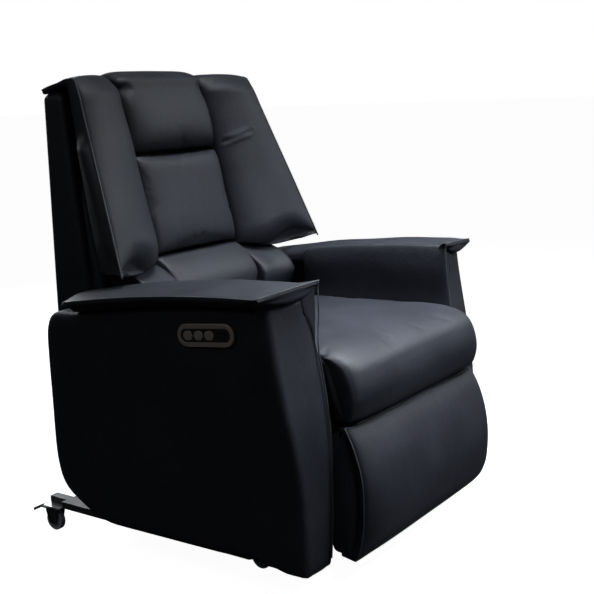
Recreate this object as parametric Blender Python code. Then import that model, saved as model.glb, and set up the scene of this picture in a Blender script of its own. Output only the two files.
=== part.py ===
"""Power recliner chair on a low wheeled steel base, as an assembly of separate pieces.

Metres, +Z up. The chair faces -Y and its own right arm is at -X. The origin is on the
floor, in the middle of the chair's footprint.
"""

import math

import bmesh
import bpy
import numpy as np

# Clearances
FIT_GAP = 0.0003
RUN_GAP = 0.0005
SIDE_PLAY = 0.004
OVERRUN = 0.004

# Overall chair
SEAT_WIDTH = 0.570

# Casters
CASTER_HEIGHT = 0.0657
CASTER_PLATE = 0.003
CASTER_PLATE_WIDTH = 0.044
CASTER_PLATE_LENGTH = 0.056
CASTER_RACE_RADIUS = 0.015
CASTER_RACE = 0.006
WHEEL_RADIUS = 0.025
WHEEL_WIDTH = 0.018
WHEEL_TREAD = 0.006
WHEEL_HUB_RADIUS = 0.010
WHEEL_DISH = 0.003
AXLE_RADIUS = 0.004
AXLE_HEAD = 0.002
FORK_LEG = 0.003
FORK_TOP = 0.0032
FORK_LEG_WIDTH = 0.022
CASTER_TRAIL = 0.010
PEDAL_THICKNESS = 0.0035
PEDAL_WIDTH = 0.026
PEDAL_DROP = 0.010
PEDAL_KNUCKLE = 0.0045
PEDAL_REACH = 0.0475
REAR_CASTER_SETIN = 0.031
REAR_CASTER_Y = 0.377
FRONT_CASTER_REACH = 0.011
FRONT_CASTER_Y = -0.180

# Base frame
BASE_TUBE = 0.016
BASE_RAIL_SETIN = 0.015
BASE_SETBACK = 0.032
CROSS_RAIL_FRONT = 0.040
CROSS_RAIL_REAR = 0.110
REAR_RAIL = 0.040

# Arms
ARM_WIDTH = 0.126
ARM_PANEL = 0.033
ARM_FRONT = -0.352
ARM_REAR = 0.341
ARM_FRONT_SETBACK = 0.030
ARM_CORNER_SETBACK = 0.034
ARM_TOE_TAPER = 0.033
ARM_TAPER_LENGTH = 0.290
ARM_FOOT_HEIGHT = 0.040
ARM_FOOT_DEPTH = 0.070
ARM_INNER_REAR = 0.103
ARM_EDGE_HEIGHT = 0.631
ARM_FALL = 0.053
ARM_ARCH_POWER_SHARE = 1.9
ARM_OUTER_ROUND = 0.022
ARM_PANEL_BORDER = 0.110
ARM_FRAME_THICKNESS = 0.018
ARM_FRAME_BORDER = 0.050
ARM_CORNER_ROUND = 0.070
ARM_TAIL_RISE = 0.055
ARM_TAIL_RUN = 0.130

# Arm pads
PAD_THICKNESS = 0.030
PAD_CROWN = 0.011
PAD_FRONT = -0.323
PAD_CORNER_FRONT = -0.300
PAD_REAR = 0.252
FLAP_REACH = 0.041
FLAP_THICKNESS = 0.010
FLAP_SAG = 0.004
PAD_INNER_LIP = 0.010

# Seat
SEAT_HEIGHT = 0.497
SEAT_CROWN = 0.014
SEAT_UNDERSIDE = 0.3485
SEAT_NOSE = -0.430
SEAT_REAR = 0.136
SEAT_SIDE_ROUND = 0.030
SEAT_NOSE_ROUND = 0.062
SEAT_CHIN_ROUND = 0.040
SEAT_REAR_ROUND = 0.030

# Seat frame
SEAT_RAIL = 0.021
SEAT_RAIL_HEIGHT = 0.060
SEAT_CROSS_HEIGHT = 0.028
SEAT_CROSS_DEPTH = 0.030
SEAT_FRAME_FRONT = -0.345
SEAT_FRAME_REAR = 0.105
SPRING_WIRE = 0.0019
SPRING_COUNT = 4
SPRING_TURNS = 7
SPRING_SWING = 0.022
SPRING_PITCH = 0.095

# Mechanism plates and links
PLATE = 0.004
PLATE_SETIN = 0.045
LINK = 0.004
LINK_WIDTH = 0.018
PIN_RADIUS = 0.005
TORQUE_TUBE_RADIUS = 0.009
LIFT_CENTRE_Y = -0.440
LIFT_CENTRE_Z = 0.420
DRIVE_PIVOT_Y = -0.200
DRIVE_PIVOT_Z = 0.300
DRIVE_RUN = 0.105
DRIVE_DROP = 0.170
GUIDE_SHARE = 0.25
CONTROL_SHARE = 0.21
PLATE_BORDER = 0.022
LEG_FRONT = 0.045
LEG_REAR = 0.105

# Footrest
FOOTREST_BACK = -0.3655
FOOTREST_TOP = 0.3425
FOOTREST_BOTTOM = 0.062
FOOTREST_BOARD = 0.012
FOOTREST_BOARD_BORDER = 0.026
FOOTREST_EDGE_ROUND = 0.020
FOOTREST_TOP_DEPTH = 0.052
FOOTREST_BULGE = 0.0325
BRIDGE_THICKNESS = 0.003
BRIDGE_BORDER = 0.030

# Motors
CRANK_LENGTH = 0.060
CRANK_SHARE = 0.5
CRANK_PIN_RADIUS = 0.004
CRANK_PLATE = 0.006
FOOT_MOTOR_X = -0.075
BACK_MOTOR_X = 0.075
MOTOR_WIDTH = 0.070
MOTOR_HEIGHT = 0.060
MOTOR_FRONT = 0.020
MOTOR_REAR = 0.118
MOTOR_RAIL_WIDTH = 0.034
MOTOR_RAIL_HEIGHT = 0.022
MOTOR_TUBE_RADIUS = 0.0125
CARRIAGE_DROP = 0.0402
FOOT_RAIL_FRONT = -0.290
CARRIAGE_WALL = 0.006
SLOT_PLAY = 0.0035
FOOT_SWING = math.radians(85)
BACK_SWING = math.radians(38)

# Back
HINGE_Y = 0.230
HINGE_Z = 0.400
BACK_LEAN_SHARE = 0.194
BACK_FRAME = 0.022
BACK_FRAME_BAR = 0.013
BACK_FRAME_DROP = 0.096
BACK_CRANK = 0.140
SHELL_REACH = 0.019
SHELL_BOTTOM = 0.380
SHELL_DROP = 0.049
SHELL_REAR_LOW = 0.424
SHELL_TOP_DEPTH = 0.0458
SHELL_ROUND = 0.034
CENTRE_HALF_WIDTH = 0.155
LUMBAR_SIDE_SETIN = 0.0155
LUMBAR_BOTTOM = 0.430
LUMBAR_TOP = 0.640
MID_HEIGHT = 0.239
HEAD_HEIGHT = 0.202
HEAD_DEPTH = 0.0605
GROOVE = 0.003
CUSHION_ROUND = 0.024
MID_CROWN = 0.030
HEAD_CROWN = 0.034

# Wings
WING_BOTTOM = 0.627
WING_DROP = 0.021
WING_TIP_REACH = 0.094
WING_TIP_Y = 0.117
WING_TOP_REACH = 0.029
WING_TOP_AHEAD = 0.047
WING_SWELL = 0.026

# Rear cover and power inlet
COVER_THICKNESS = 0.004
COVER_HEIGHT = 0.165
COVER_SETBACK = 0.019
INLET_WIDTH = 0.030
INLET_HEIGHT = 0.022
INLET_DEPTH = 0.020
INLET_X = 0.150
INLET_WALL = 0.003

# Control panel on the right arm
PANEL_LENGTH = 0.149
PANEL_HEIGHT = 0.048
PANEL_Y = -0.139
PANEL_Z = 0.539
PANEL_TILT = math.radians(5.4)
BEZEL_DEPTH = 0.0045
BEZEL_ROUND = 0.0015
BUTTON_LENGTH = 0.024
BUTTON_HEIGHT = 0.019
BUTTON_PITCH = 0.028
BUTTON_PROUD = 0.0018
BUTTON_THICKNESS = 0.003
SOCKET_DEPTH = 0.003
SWITCH_BOX_DEPTH = 0.024
SWITCH_BOX_BORDER = 0.008

# Values worked out from the sizes above
ARM_IN = SEAT_WIDTH / 2
ARM_SHELL_IN = ARM_IN + ARM_PANEL
ARM_OUT = ARM_IN + ARM_WIDTH
REAR_CASTER_X = ARM_OUT - REAR_CASTER_SETIN
FRONT_CASTER_X = ARM_IN + FRONT_CASTER_REACH
BASE_RAIL_IN = ARM_IN - BASE_RAIL_SETIN
BASE_RAIL_OUT = ARM_OUT - BASE_RAIL_SETIN
OUTRIGGER_OUT = REAR_CASTER_X
OUTRIGGER_IN = REAR_CASTER_X - CASTER_PLATE_WIDTH / 2
PLATE_OUT = ARM_IN - PLATE_SETIN
LUMBAR_SIDE_OUT = ARM_IN - LUMBAR_SIDE_SETIN
SHELL_HALF_WIDTH = ARM_IN + SHELL_REACH
WING_REAR_X = SHELL_HALF_WIDTH + SIDE_PLAY
BASE_BOTTOM = CASTER_HEIGHT + FIT_GAP
BASE_TOP = BASE_BOTTOM + BASE_TUBE
ARM_BOTTOM = BASE_TOP + FIT_GAP
ARM_FOOT_FRONT = ARM_FRONT + ARM_FRONT_SETBACK / 3
ARM_FOOT_TOP_Y = ARM_FOOT_FRONT + ARM_FOOT_DEPTH + ARM_BOTTOM - ARM_FOOT_HEIGHT
BASE_FRONT = ARM_FOOT_TOP_Y + SIDE_PLAY
CUSHION_HALF_WIDTH = ARM_IN - SIDE_PLAY
PLATE_IN = PLATE_OUT - PLATE
ARM_LINK_OUT = PLATE_IN - RUN_GAP
ARM_LINK_IN = ARM_LINK_OUT - LINK
CARRY_LINK_OUT = ARM_LINK_IN - RUN_GAP
CARRY_LINK_IN = CARRY_LINK_OUT - LINK
PLATE_TOP = SEAT_UNDERSIDE - SIDE_PLAY
MOTOR_RAIL_TOP = DRIVE_PIVOT_Z - CRANK_LENGTH - CARRIAGE_DROP
MOTOR_TUBE_HEIGHT = MOTOR_RAIL_TOP + SIDE_PLAY * 2 - MOTOR_HEIGHT - FIT_GAP - MOTOR_TUBE_RADIUS
PEDAL_END = REAR_CASTER_Y + CASTER_TRAIL + FORK_LEG_WIDTH / 2 + PEDAL_KNUCKLE + PEDAL_REACH
BASE_REAR = REAR_CASTER_Y - BASE_SETBACK
COVER_REAR = BASE_REAR - COVER_SETBACK
FOOTREST_FRONT = FOOTREST_BACK - FOOTREST_TOP_DEPTH - FOOTREST_BULGE
MID_TOP = LUMBAR_TOP + MID_HEIGHT
HEAD_TOP = MID_TOP + HEAD_HEIGHT
WING_TOP = HEAD_TOP - WING_DROP
SHELL_TOP = HEAD_TOP - SHELL_DROP
BACK_FRAME_TOP = HEAD_TOP - BACK_FRAME_DROP


# Meshes, materials and objects

def clear_scene():
    for obj in list(bpy.data.objects):
        bpy.data.objects.remove(obj, do_unlink=True)


def finish(name, colour, roughness, metallic=0.0):
    """A Principled material with a base colour, a roughness and a metallic value."""
    made = bpy.data.materials.new(name)
    made.use_nodes = True
    shader = made.node_tree.nodes["Principled BSDF"]
    shader.inputs["Base Color"].default_value = (*colour, 1.0)
    shader.inputs["Roughness"].default_value = roughness
    shader.inputs["Metallic"].default_value = metallic
    return made


def solid(name, skins, colour, pivot=(0.0, 0.0, 0.0)):
    """An object made of closed skins, with its origin at the pivot."""
    mesh = bpy.data.meshes.new(name)
    points = []
    faces = []
    for skin_points, skin_faces in skins:
        base = len(points)
        points.extend(tuple(p) for p in np.asarray(skin_points, float) - np.asarray(pivot))
        faces.extend(tuple(base + i for i in face) for face in skin_faces)
    mesh.from_pydata(points, [], faces)
    work = bmesh.new()
    work.from_mesh(mesh)
    bmesh.ops.recalc_face_normals(work, faces=work.faces)
    work.to_mesh(mesh)
    work.free()
    mesh.materials.append(colour)
    obj = bpy.data.objects.new(name, mesh)
    obj.location = pivot
    bpy.context.scene.collection.objects.link(obj)
    return obj


def helper(obj):
    obj.hide_render = True
    obj.display_type = "WIRE"


def boolean(obj, other, operation):
    modifier = obj.modifiers.new(other.name, "BOOLEAN")
    modifier.object = other
    modifier.operation = operation
    modifier.solver = "EXACT"
    helper(other)


def cut(obj, name, skins):
    for number, skin in enumerate(skins):
        cutter = solid(f"{name}_cut_{number}", [skin], obj.data.materials[0])
        boolean(obj, cutter, "DIFFERENCE")


def fuse(obj, name, skins):
    for number, skin in enumerate(skins):
        joined = solid(f"{name}_join_{number}", [skin], obj.data.materials[0])
        boolean(obj, joined, "UNION")


def soften(obj, angle=math.radians(35)):
    obj.data.shade_smooth()
    obj.data.set_sharp_from_angle(angle=angle)


# Outlines and skins

def loft(rings):
    """A closed skin through rings of the same number of points, capped at both ends."""
    count = len(rings[0])
    faces = []
    for ring in range(len(rings) - 1):
        low = ring * count
        high = low + count
        for i in range(count):
            j = (i + 1) % count
            faces.append((low + i, low + j, high + j, high + i))
    faces.append(tuple(reversed(range(count))))
    faces.append(tuple(range((len(rings) - 1) * count, len(rings) * count)))
    return np.vstack(rings), faces


def turned(place, angle):
    """A two-number place turned about zero."""
    cosine, sine = math.cos(angle), math.sin(angle)
    return np.array((place[0] * cosine - place[1] * sine, place[0] * sine + place[1] * cosine))


def rounded(corners, steps=4, draw_in=0.0):
    """An outline whose corners (a, b, radius) are drawn in and filleted with arcs of so many steps."""
    outline = []
    total = len(corners)
    places = inset(np.array([corner[:2] for corner in corners], float), draw_in)
    turn_way = math.copysign(1.0, signed_area(places))
    for i, (_, _, radius) in enumerate(corners):
        here = places[i]
        before = places[i - 1] - here
        after = places[(i + 1) % total] - here
        bend = (after[0] * before[1] - after[1] * before[0]) * turn_way
        radius = max(radius - math.copysign(draw_in, bend), FIT_GAP) if radius > 0 else 0
        before_length = np.linalg.norm(before)
        after_length = np.linalg.norm(after)
        before = before / before_length
        after = after / after_length
        half = math.acos(np.clip(before @ after, -1, 1)) / 2
        if radius <= 0 or math.tan(half) > 1 / FIT_GAP:
            outline.append(here)
            continue
        reach = min(radius / math.tan(half), before_length / 2, after_length / 2)
        radius = reach * math.tan(half)
        middle = (before + after) / np.linalg.norm(before + after)
        centre = here + middle * radius / math.sin(half)
        start = here + before * reach - centre
        end = here + after * reach - centre
        turn = math.atan2(start[0] * end[1] - start[1] * end[0], start @ end)
        outline.extend(centre + turned(start, turn * step / steps) for step in range(steps + 1))
    return np.array(outline)


def signed_area(outline):
    following = np.roll(outline, -1, axis=0)
    return np.sum(outline[:, 0] * following[:, 1] - following[:, 0] * outline[:, 1]) / 2


def filleted(corners, steps=4):
    """A rounded outline that stays clean however far it is drawn in: a function of that distance."""
    return lambda draw_in: rounded(corners, steps, draw_in)


def inset(outline, distance):
    """The outline drawn in by a distance, each point along the mean of its edges' normals."""
    if callable(outline):
        return outline(distance)
    if distance == 0:
        return outline
    following = np.roll(outline, -1, axis=0) - outline
    previous = outline - np.roll(outline, 1, axis=0)
    turn = math.copysign(1.0, signed_area(outline))
    normals = []
    for edge in (following, previous):
        length = np.linalg.norm(edge, axis=1, keepdims=True)
        normals.append(np.column_stack((-edge[:, 1], edge[:, 0])) / np.maximum(length, FIT_GAP / 10) * turn)
    mean = normals[0] + normals[1]
    size = np.linalg.norm(mean, axis=1, keepdims=True)
    mean = mean / size
    stretch = 1 / np.maximum((mean * normals[0]).sum(axis=1, keepdims=True), 0.5)
    return outline + mean * stretch * distance


def across(outline, x):
    """The (y, z) outline as a ring in the plane of one x."""
    return np.column_stack((np.full(len(outline), x), outline))


def slab(outline, low, high, low_round=0.0, high_round=0.0, steps=4, face_draws=()):
    """A (y, z) outline swept along X, with its end edges rounded over and more rings on its high face."""
    rings = []
    for step in range(steps if low_round else 0):
        angle = math.pi / 2 * step / steps
        drawn = inset(outline, low_round * (1 - math.sin(angle)))
        rings.append(across(drawn, low + low_round * (1 - math.cos(angle))))
    rings.append(across(inset(outline, 0), low + low_round))
    rings.append(across(inset(outline, 0), high - high_round))
    for step in reversed(range(steps if high_round else 0)):
        angle = math.pi / 2 * step / steps
        drawn = inset(outline, high_round * (1 - math.sin(angle)))
        rings.append(across(drawn, high - high_round * (1 - math.cos(angle))))
    rings.extend(across(inset(outline, draw_in), high) for draw_in in face_draws)
    return loft(rings)


def box(x, y, z):
    """A box between the two values of each axis."""
    return slab(np.array([(y[0], z[0]), (y[1], z[0]), (y[1], z[1]), (y[0], z[1])]), x[0], x[1])


def disc_x(y, z, radius, low, high, sides=20):
    """A cylinder along X."""
    turn = np.linspace(0, 2 * math.pi, sides, endpoint=False)
    return slab(np.column_stack((y + radius * np.cos(turn), z + radius * np.sin(turn))), low, high)


def disc_z(x, y, radius, low, high, sides=20):
    """A cylinder along Z."""
    turn = np.linspace(0, 2 * math.pi, sides, endpoint=False)
    ring = np.column_stack((x + radius * np.cos(turn), y + radius * np.sin(turn)))
    return loft([np.column_stack((ring, np.full(sides, z))) for z in (low, high)])


def turned_x(y, z, profile, sides=24):
    """A ring turned about an axis along X, from a closed loop of (x, radius at a facet's middle)."""
    half_side = math.pi / sides
    turn = np.linspace(0, 2 * math.pi, sides, endpoint=False) + half_side
    count = len(profile)
    points = []
    faces = []
    for angle in turn:
        for x, facet_radius in profile:
            radius = facet_radius / math.cos(half_side)
            points.append((x, y + radius * math.cos(angle), z + radius * math.sin(angle)))
    for side in range(sides):
        low = side * count
        high = (side + 1) % sides * count
        for i in range(count):
            j = (i + 1) % count
            faces.append((low + i, low + j, high + j, high + i))
    return np.array(points), faces


def link_outline(start, end, width, steps=6):
    """A stadium: straight sides between two (y, z) places, and a half circle round each."""
    along = (end - start) / np.linalg.norm(end - start)
    aside = np.array((-along[1], along[0]))
    outline = []
    for centre, first in ((end, aside), (start, -aside)):
        for step in range(steps + 1):
            outline.append(centre + turned(first, -math.pi * step / steps) * width / 2)
    return np.array(outline)


def link(ends, width, low, high):
    """A flat bar with round ends, between two (y, z) places."""
    return slab(link_outline(*ends, width), low, high)


def mirrored(skin, side):
    """The skin on the left (side 1) as it is, or on the right (side -1) mirrored in X."""
    points, faces = skin
    return points * (side, 1, 1), faces


SIDES = ((-1, "right"), (1, "left"))


# Swivel casters

CASTERS = (
    ("rear_right", -REAR_CASTER_X, REAR_CASTER_Y, True),
    ("rear_left", REAR_CASTER_X, REAR_CASTER_Y, True),
    ("front_right", -FRONT_CASTER_X, FRONT_CASTER_Y, False),
    ("front_left", FRONT_CASTER_X, FRONT_CASTER_Y, False),
)


def shifted(skin, x=0.0, y=0.0, z=0.0):
    points, faces = skin
    return points + (x, y, z), faces


def caster_plate(place, x, y, chrome):
    """The top plate with its corners rounded, and the ball race under it."""
    half_width = CASTER_PLATE_WIDTH / 2
    half_length = CASTER_PLATE_LENGTH / 2
    corner = CASTER_PLATE_WIDTH / 8
    outline = rounded([(-half_width, -half_length, corner), (half_width, -half_length, corner),
                       (half_width, half_length, corner), (-half_width, half_length, corner)], 2)
    low = CASTER_HEIGHT - CASTER_PLATE
    rings = [np.column_stack((outline + (x, y), np.full(len(outline), z))) for z in (low, CASTER_HEIGHT)]
    plate = solid(f"caster_plate_{place}", [loft(rings)], chrome, (x, y, CASTER_HEIGHT))
    race = disc_z(x, y, CASTER_RACE_RADIUS, low - CASTER_RACE, low + CASTER_PLATE / 2, 16)
    fuse(plate, f"caster_race_{place}", [race])
    soften(plate)


def fork_top():
    return CASTER_HEIGHT - CASTER_PLATE - CASTER_RACE - FIT_GAP


def pedal_pin():
    """Where the pedal's pin lies behind the swivel and above the floor."""
    return CASTER_TRAIL + FORK_LEG_WIDTH / 2 + PEDAL_KNUCKLE, fork_top() - PEDAL_KNUCKLE


def caster_fork(place, x, y, dark):
    """A bridge under the race, two legs beside the wheel, and the axle between them."""
    top = fork_top()
    inner = WHEEL_WIDTH / 2 + RUN_GAP
    outer = inner + FORK_LEG
    half = FORK_LEG_WIDTH / 2
    pin_y, pin_z = pedal_pin()
    low = WHEEL_RADIUS - half + FORK_LEG
    leg = rounded([(-half, top, 0), (pin_y + PEDAL_KNUCKLE, top, FORK_LEG),
                   (pin_y + PEDAL_KNUCKLE, pin_z - PEDAL_KNUCKLE, FORK_LEG),
                   (CASTER_TRAIL + half, low, half / 2), (CASTER_TRAIL - half, low, half / 2)], 2)
    bridge = box((-outer, outer), (-half, half), (top - FORK_TOP, top))
    fork = solid(f"caster_fork_{place}", [shifted(bridge, x, y)], dark, (x, y, top))
    legs = [shifted(slab(leg, low_x, high_x), x, y)
            for low_x, high_x in ((-outer, -inner), (inner, outer))]
    reach = outer + AXLE_HEAD
    axle = shifted(disc_x(CASTER_TRAIL, WHEEL_RADIUS, AXLE_RADIUS, -reach, reach, 12), x, y)
    fuse(fork, f"caster_fork_{place}", [*legs, axle])
    soften(fork)


def caster_wheel(place, x, y, tread):
    """A wheel with a bored hub, dished sides and a rounded tread."""
    half = WHEEL_WIDTH / 2
    bore = AXLE_RADIUS + RUN_GAP
    rim = WHEEL_RADIUS - WHEEL_TREAD
    edge = WHEEL_RADIUS - WHEEL_DISH / 2
    right = [(half, bore), (half, WHEEL_HUB_RADIUS), (half - WHEEL_DISH, WHEEL_HUB_RADIUS + WHEEL_DISH),
             (half - WHEEL_DISH, rim), (half - WHEEL_DISH / 2, edge), (half - WHEEL_DISH, WHEEL_RADIUS)]
    left = [(-a, radius) for a, radius in reversed(right)]
    wheel = turned_x(y + CASTER_TRAIL, WHEEL_RADIUS, right + left, 20)
    made = solid(f"caster_wheel_{place}", [shifted(wheel, x)], tread, (x, y + CASTER_TRAIL, WHEEL_RADIUS))
    soften(made)


def caster_pedal(place, x, y, dark):
    """A brake lever: a knuckle between the fork legs and a bent blade that widens to the foot tab."""
    pin_y, pin_z = pedal_pin()
    end = PEDAL_END - REAR_CASTER_Y
    bend_y = pin_y + (end - pin_y) / 2
    half = PEDAL_THICKNESS / 2
    blade = np.array([(pin_y, pin_z - half), (bend_y, pin_z - half), (end, pin_z - PEDAL_DROP - half),
                      (end, pin_z - PEDAL_DROP + half), (bend_y, pin_z + half), (pin_y, pin_z + half)])
    inside = WHEEL_WIDTH / 2
    pedal = solid(f"brake_pedal_{place}", [shifted(slab(blade, -inside, inside), x, y)], dark,
                  (x, y + pin_y, pin_z))
    tab = np.array([(bend_y + half, pin_z - half), (end, pin_z - PEDAL_DROP - PEDAL_THICKNESS),
                    (end, pin_z - PEDAL_DROP + PEDAL_THICKNESS), (bend_y + half, pin_z + PEDAL_THICKNESS)])
    knuckle = disc_x(pin_y, pin_z, PEDAL_KNUCKLE - RUN_GAP, -inside, inside, 12)
    wide = slab(tab, -PEDAL_WIDTH / 2, PEDAL_WIDTH / 2)
    fuse(pedal, f"brake_pedal_{place}", [shifted(knuckle, x, y), shifted(wide, x, y)])
    soften(pedal)


def casters(finishes):
    for place, x, y, brake in CASTERS:
        caster_plate(place, x, y, finishes["chrome"])
        caster_fork(place, x, y, finishes["dark_steel"])
        caster_wheel(place, x, y, finishes["tread"])
        if brake:
            caster_pedal(place, x, y, finishes["dark_steel"])


# Base frame

def base_frame(dark):
    """Two side rails, a middle and a rear cross rail, and a tongue over the inner half of each rear plate."""
    rear_front = BASE_REAR - REAR_RAIL
    caster_rear = REAR_CASTER_Y + CASTER_PLATE_LENGTH / 2 - SIDE_PLAY
    half = [(BASE_RAIL_IN, CROSS_RAIL_FRONT), (BASE_RAIL_IN, BASE_FRONT),
            (BASE_RAIL_OUT - BASE_RAIL_SETIN, BASE_FRONT), (BASE_RAIL_OUT, BASE_FRONT + BASE_RAIL_SETIN),
            (BASE_RAIL_OUT, BASE_REAR), (OUTRIGGER_OUT, BASE_REAR), (OUTRIGGER_OUT, caster_rear),
            (OUTRIGGER_IN, caster_rear), (OUTRIGGER_IN, BASE_REAR)]
    outline = np.array(half + [(-a, b) for a, b in reversed(half)])
    rings = [np.column_stack((outline, np.full(len(outline), z))) for z in (BASE_BOTTOM, BASE_TOP)]
    frame = solid("base_frame", [loft(rings)], dark)
    window = box((-BASE_RAIL_IN, BASE_RAIL_IN), (CROSS_RAIL_REAR, rear_front),
                 (BASE_BOTTOM - OVERRUN, BASE_TOP + OVERRUN))
    cut(frame, "base_window", [window])


# Arms

ARM_FRONT_SHARES = ((0.60, 0.745), (0.00, 0.523), (0.07, 0.285))
ARM_STATION_SHARES = (0.0, 0.17, 0.34, 0.51, 0.68, 0.84, 1.0)
ARM_FACE_SHARES = (0.5, 1.0)
FRONT_BLEND_SHARES = (3, 2, 2)


def arm_stations():
    return np.array([PAD_FRONT + (PAD_REAR - PAD_FRONT) * share for share in ARM_STATION_SHARES])


def arm_top(y):
    """The height of the pad's outer edge, which falls in an arch towards the rear."""
    share = np.clip((y - PAD_FRONT) / (PAD_REAR - PAD_FRONT), 0, 1)
    return ARM_EDGE_HEIGHT - ARM_FALL * share**ARM_ARCH_POWER_SHARE


def arm_seat(y):
    """The top of the arm under its pad, straight between the stations."""
    stations = arm_stations()
    return np.interp(y, stations, arm_top(stations) - PAD_THICKNESS)


def arm_front_corners():
    """The bulging front edge, from under the pad down to the foot."""
    corners = [(ARM_FRONT + ARM_FRONT_SETBACK, arm_seat(PAD_FRONT), ARM_FRAME_THICKNESS / 2)]
    for setback_share, height_share in ARM_FRONT_SHARES:
        y = ARM_FRONT + ARM_FRONT_SETBACK * setback_share
        corners.append((y, ARM_EDGE_HEIGHT * height_share, ARM_CORNER_ROUND))
    corners.append((ARM_FOOT_FRONT, ARM_FOOT_HEIGHT, ARM_FRAME_THICKNESS / 2))
    corners.append((ARM_FOOT_FRONT + ARM_FOOT_DEPTH, ARM_FOOT_HEIGHT, ARM_FRAME_THICKNESS / 2))
    corners.append((ARM_FOOT_TOP_Y, ARM_BOTTOM, ARM_FRAME_THICKNESS / 2))
    return corners


def arm_outline():
    """The whole side of the arm, with its tail swept up behind."""
    corners = arm_front_corners()
    corners.append((ARM_REAR - ARM_TAIL_RUN, ARM_BOTTOM, ARM_CORNER_ROUND))
    corners.append((ARM_REAR - ARM_TAIL_RUN / 6, ARM_BOTTOM + ARM_TAIL_RISE, ARM_CORNER_ROUND))
    corners.append((ARM_REAR, ARM_BOTTOM + 2 * ARM_TAIL_RISE, ARM_CORNER_ROUND))
    corners.append((ARM_REAR, arm_seat(PAD_REAR), ARM_CORNER_ROUND))
    corners.extend((y, arm_seat(y), 0) for y in reversed(arm_stations()[1:]))
    return filleted(corners, 3)


def arm_inner_outline():
    """The inner panel: the same front, ended upright in front of the back."""
    corners = arm_front_corners()
    corners.append((ARM_INNER_REAR, ARM_BOTTOM, 0))
    corners.append((ARM_INNER_REAR, arm_seat(ARM_INNER_REAR), 0))
    corners.extend((y, arm_seat(y), 0) for y in reversed(arm_stations()[1:]) if y < ARM_INNER_REAR)
    return filleted(corners, 3)


def ruled_front(skin):
    """The arm's ruled front: the outer corner stands back at the top, and the side narrows to the toe."""
    points, faces = skin
    x, y, z = points.T
    front = np.clip((ARM_FRONT + ARM_TAPER_LENGTH - y) / ARM_TAPER_LENGTH, 0, 1)
    height = np.clip((z - ARM_FOOT_HEIGHT) / (arm_seat(PAD_FRONT) - ARM_FOOT_HEIGHT), 0, 1)
    outward = np.clip((x - ARM_IN) / ARM_WIDTH, 0, 1)
    beyond = np.clip((x - ARM_SHELL_IN) / (ARM_OUT - ARM_SHELL_IN), 0, 1)
    back = ARM_CORNER_SETBACK * outward * front**FRONT_BLEND_SHARES[0] * height**FRONT_BLEND_SHARES[1]
    narrow = ARM_TOE_TAPER * beyond * front * (1 - height)**FRONT_BLEND_SHARES[2]
    fall = (arm_seat(y + back) - arm_seat(y)) * height
    return np.column_stack((x - narrow, y + back, z + fall)), faces


def arm_frame_outline(border):
    """The board inside the arm, drawn in from the inner panel's rear, top and bottom."""
    low = ARM_BOTTOM + border
    front = ARM_FRONT + ARM_FRONT_SETBACK + border
    rear = ARM_INNER_REAR - border
    high = arm_seat(ARM_INNER_REAR) - border
    corner = ARM_FRAME_THICKNESS
    return filleted([(front, low, corner), (rear, low, corner),
                     (rear, high, corner), (front, high, corner)], 2)


def arms(finishes):
    border = ARM_FRAME_BORDER / 2
    frame_out = ARM_SHELL_IN + FIT_GAP + ARM_FRAME_THICKNESS
    draws = [ARM_OUTER_ROUND + ARM_PANEL_BORDER * share for share in ARM_FACE_SHARES]
    shell_skin = ruled_front(slab(arm_outline(), ARM_SHELL_IN, ARM_OUT, 0, ARM_OUTER_ROUND, 4, draws))
    for side, name in SIDES:
        shell = solid(f"arm_shell_{name}", [mirrored(shell_skin, side)], finishes["leather"])
        pocket = slab(arm_frame_outline(border - FIT_GAP), ARM_SHELL_IN - OVERRUN, frame_out + FIT_GAP)
        cut(shell, f"arm_pocket_{name}", [mirrored(pocket, side)])
        if side < 0:
            cut(shell, "switch_pocket", [switch_box_skin(-FIT_GAP, OVERRUN)])
        soften(shell)
        board = solid(f"arm_frame_{name}",
                      [mirrored(slab(arm_frame_outline(border), ARM_SHELL_IN + FIT_GAP, frame_out), side)],
                      finishes["plywood"])
        window = slab(arm_frame_outline(border + ARM_FRAME_BORDER),
                      ARM_SHELL_IN - OVERRUN, frame_out + OVERRUN)
        cut(board, f"arm_frame_window_{name}", [mirrored(window, side)])
        inner = ruled_front(slab(arm_inner_outline(), ARM_IN, ARM_SHELL_IN - FIT_GAP,
                                 ARM_FRAME_THICKNESS / 2, 0, 3))
        soften(solid(f"arm_inner_{name}", [mirrored(inner, side)], finishes["leather"]))
        soften(solid(f"arm_pad_{name}", [mirrored(arm_pad_skin(), side)], finishes["leather"]))


def arm_pad_ring(y, draw_in, shear):
    """One section of the pad: lip over the seat, crowned top, and the thin flap past the outer face."""
    inner = ARM_IN - PAD_INNER_LIP
    outer = ARM_OUT + FLAP_REACH
    edge = PAD_INNER_LIP / 2
    crown = PAD_CROWN - draw_in
    top = PAD_THICKNESS
    under = top - FLAP_THICKNESS
    x = np.array([inner + edge, inner, inner, inner + edge, inner + 3 * edge, ARM_SHELL_IN,
                  ARM_OUT - 2 * edge, outer - 2 * edge, outer, outer, outer - 2 * edge,
                  ARM_OUT + edge, ARM_OUT - edge / 2])
    rise = np.array([0, edge, top - edge, top + crown / 2, top + crown, top + crown, top + crown * 2 / 3,
                     top, top - FLAP_SAG, under, under - FLAP_SAG, under - FLAP_SAG, 0])
    middle = top / 2
    drawn = np.sign(middle - rise) * np.minimum(draw_in, np.abs(rise - middle))
    rise = np.where(rise > 0, rise + drawn, rise)
    x = x + np.where(x < ARM_SHELL_IN, draw_in, -draw_in)
    along = y + shear * (x - inner) / (outer - inner)
    return np.column_stack((x, along, arm_seat(along) + FIT_GAP + rise))


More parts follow.
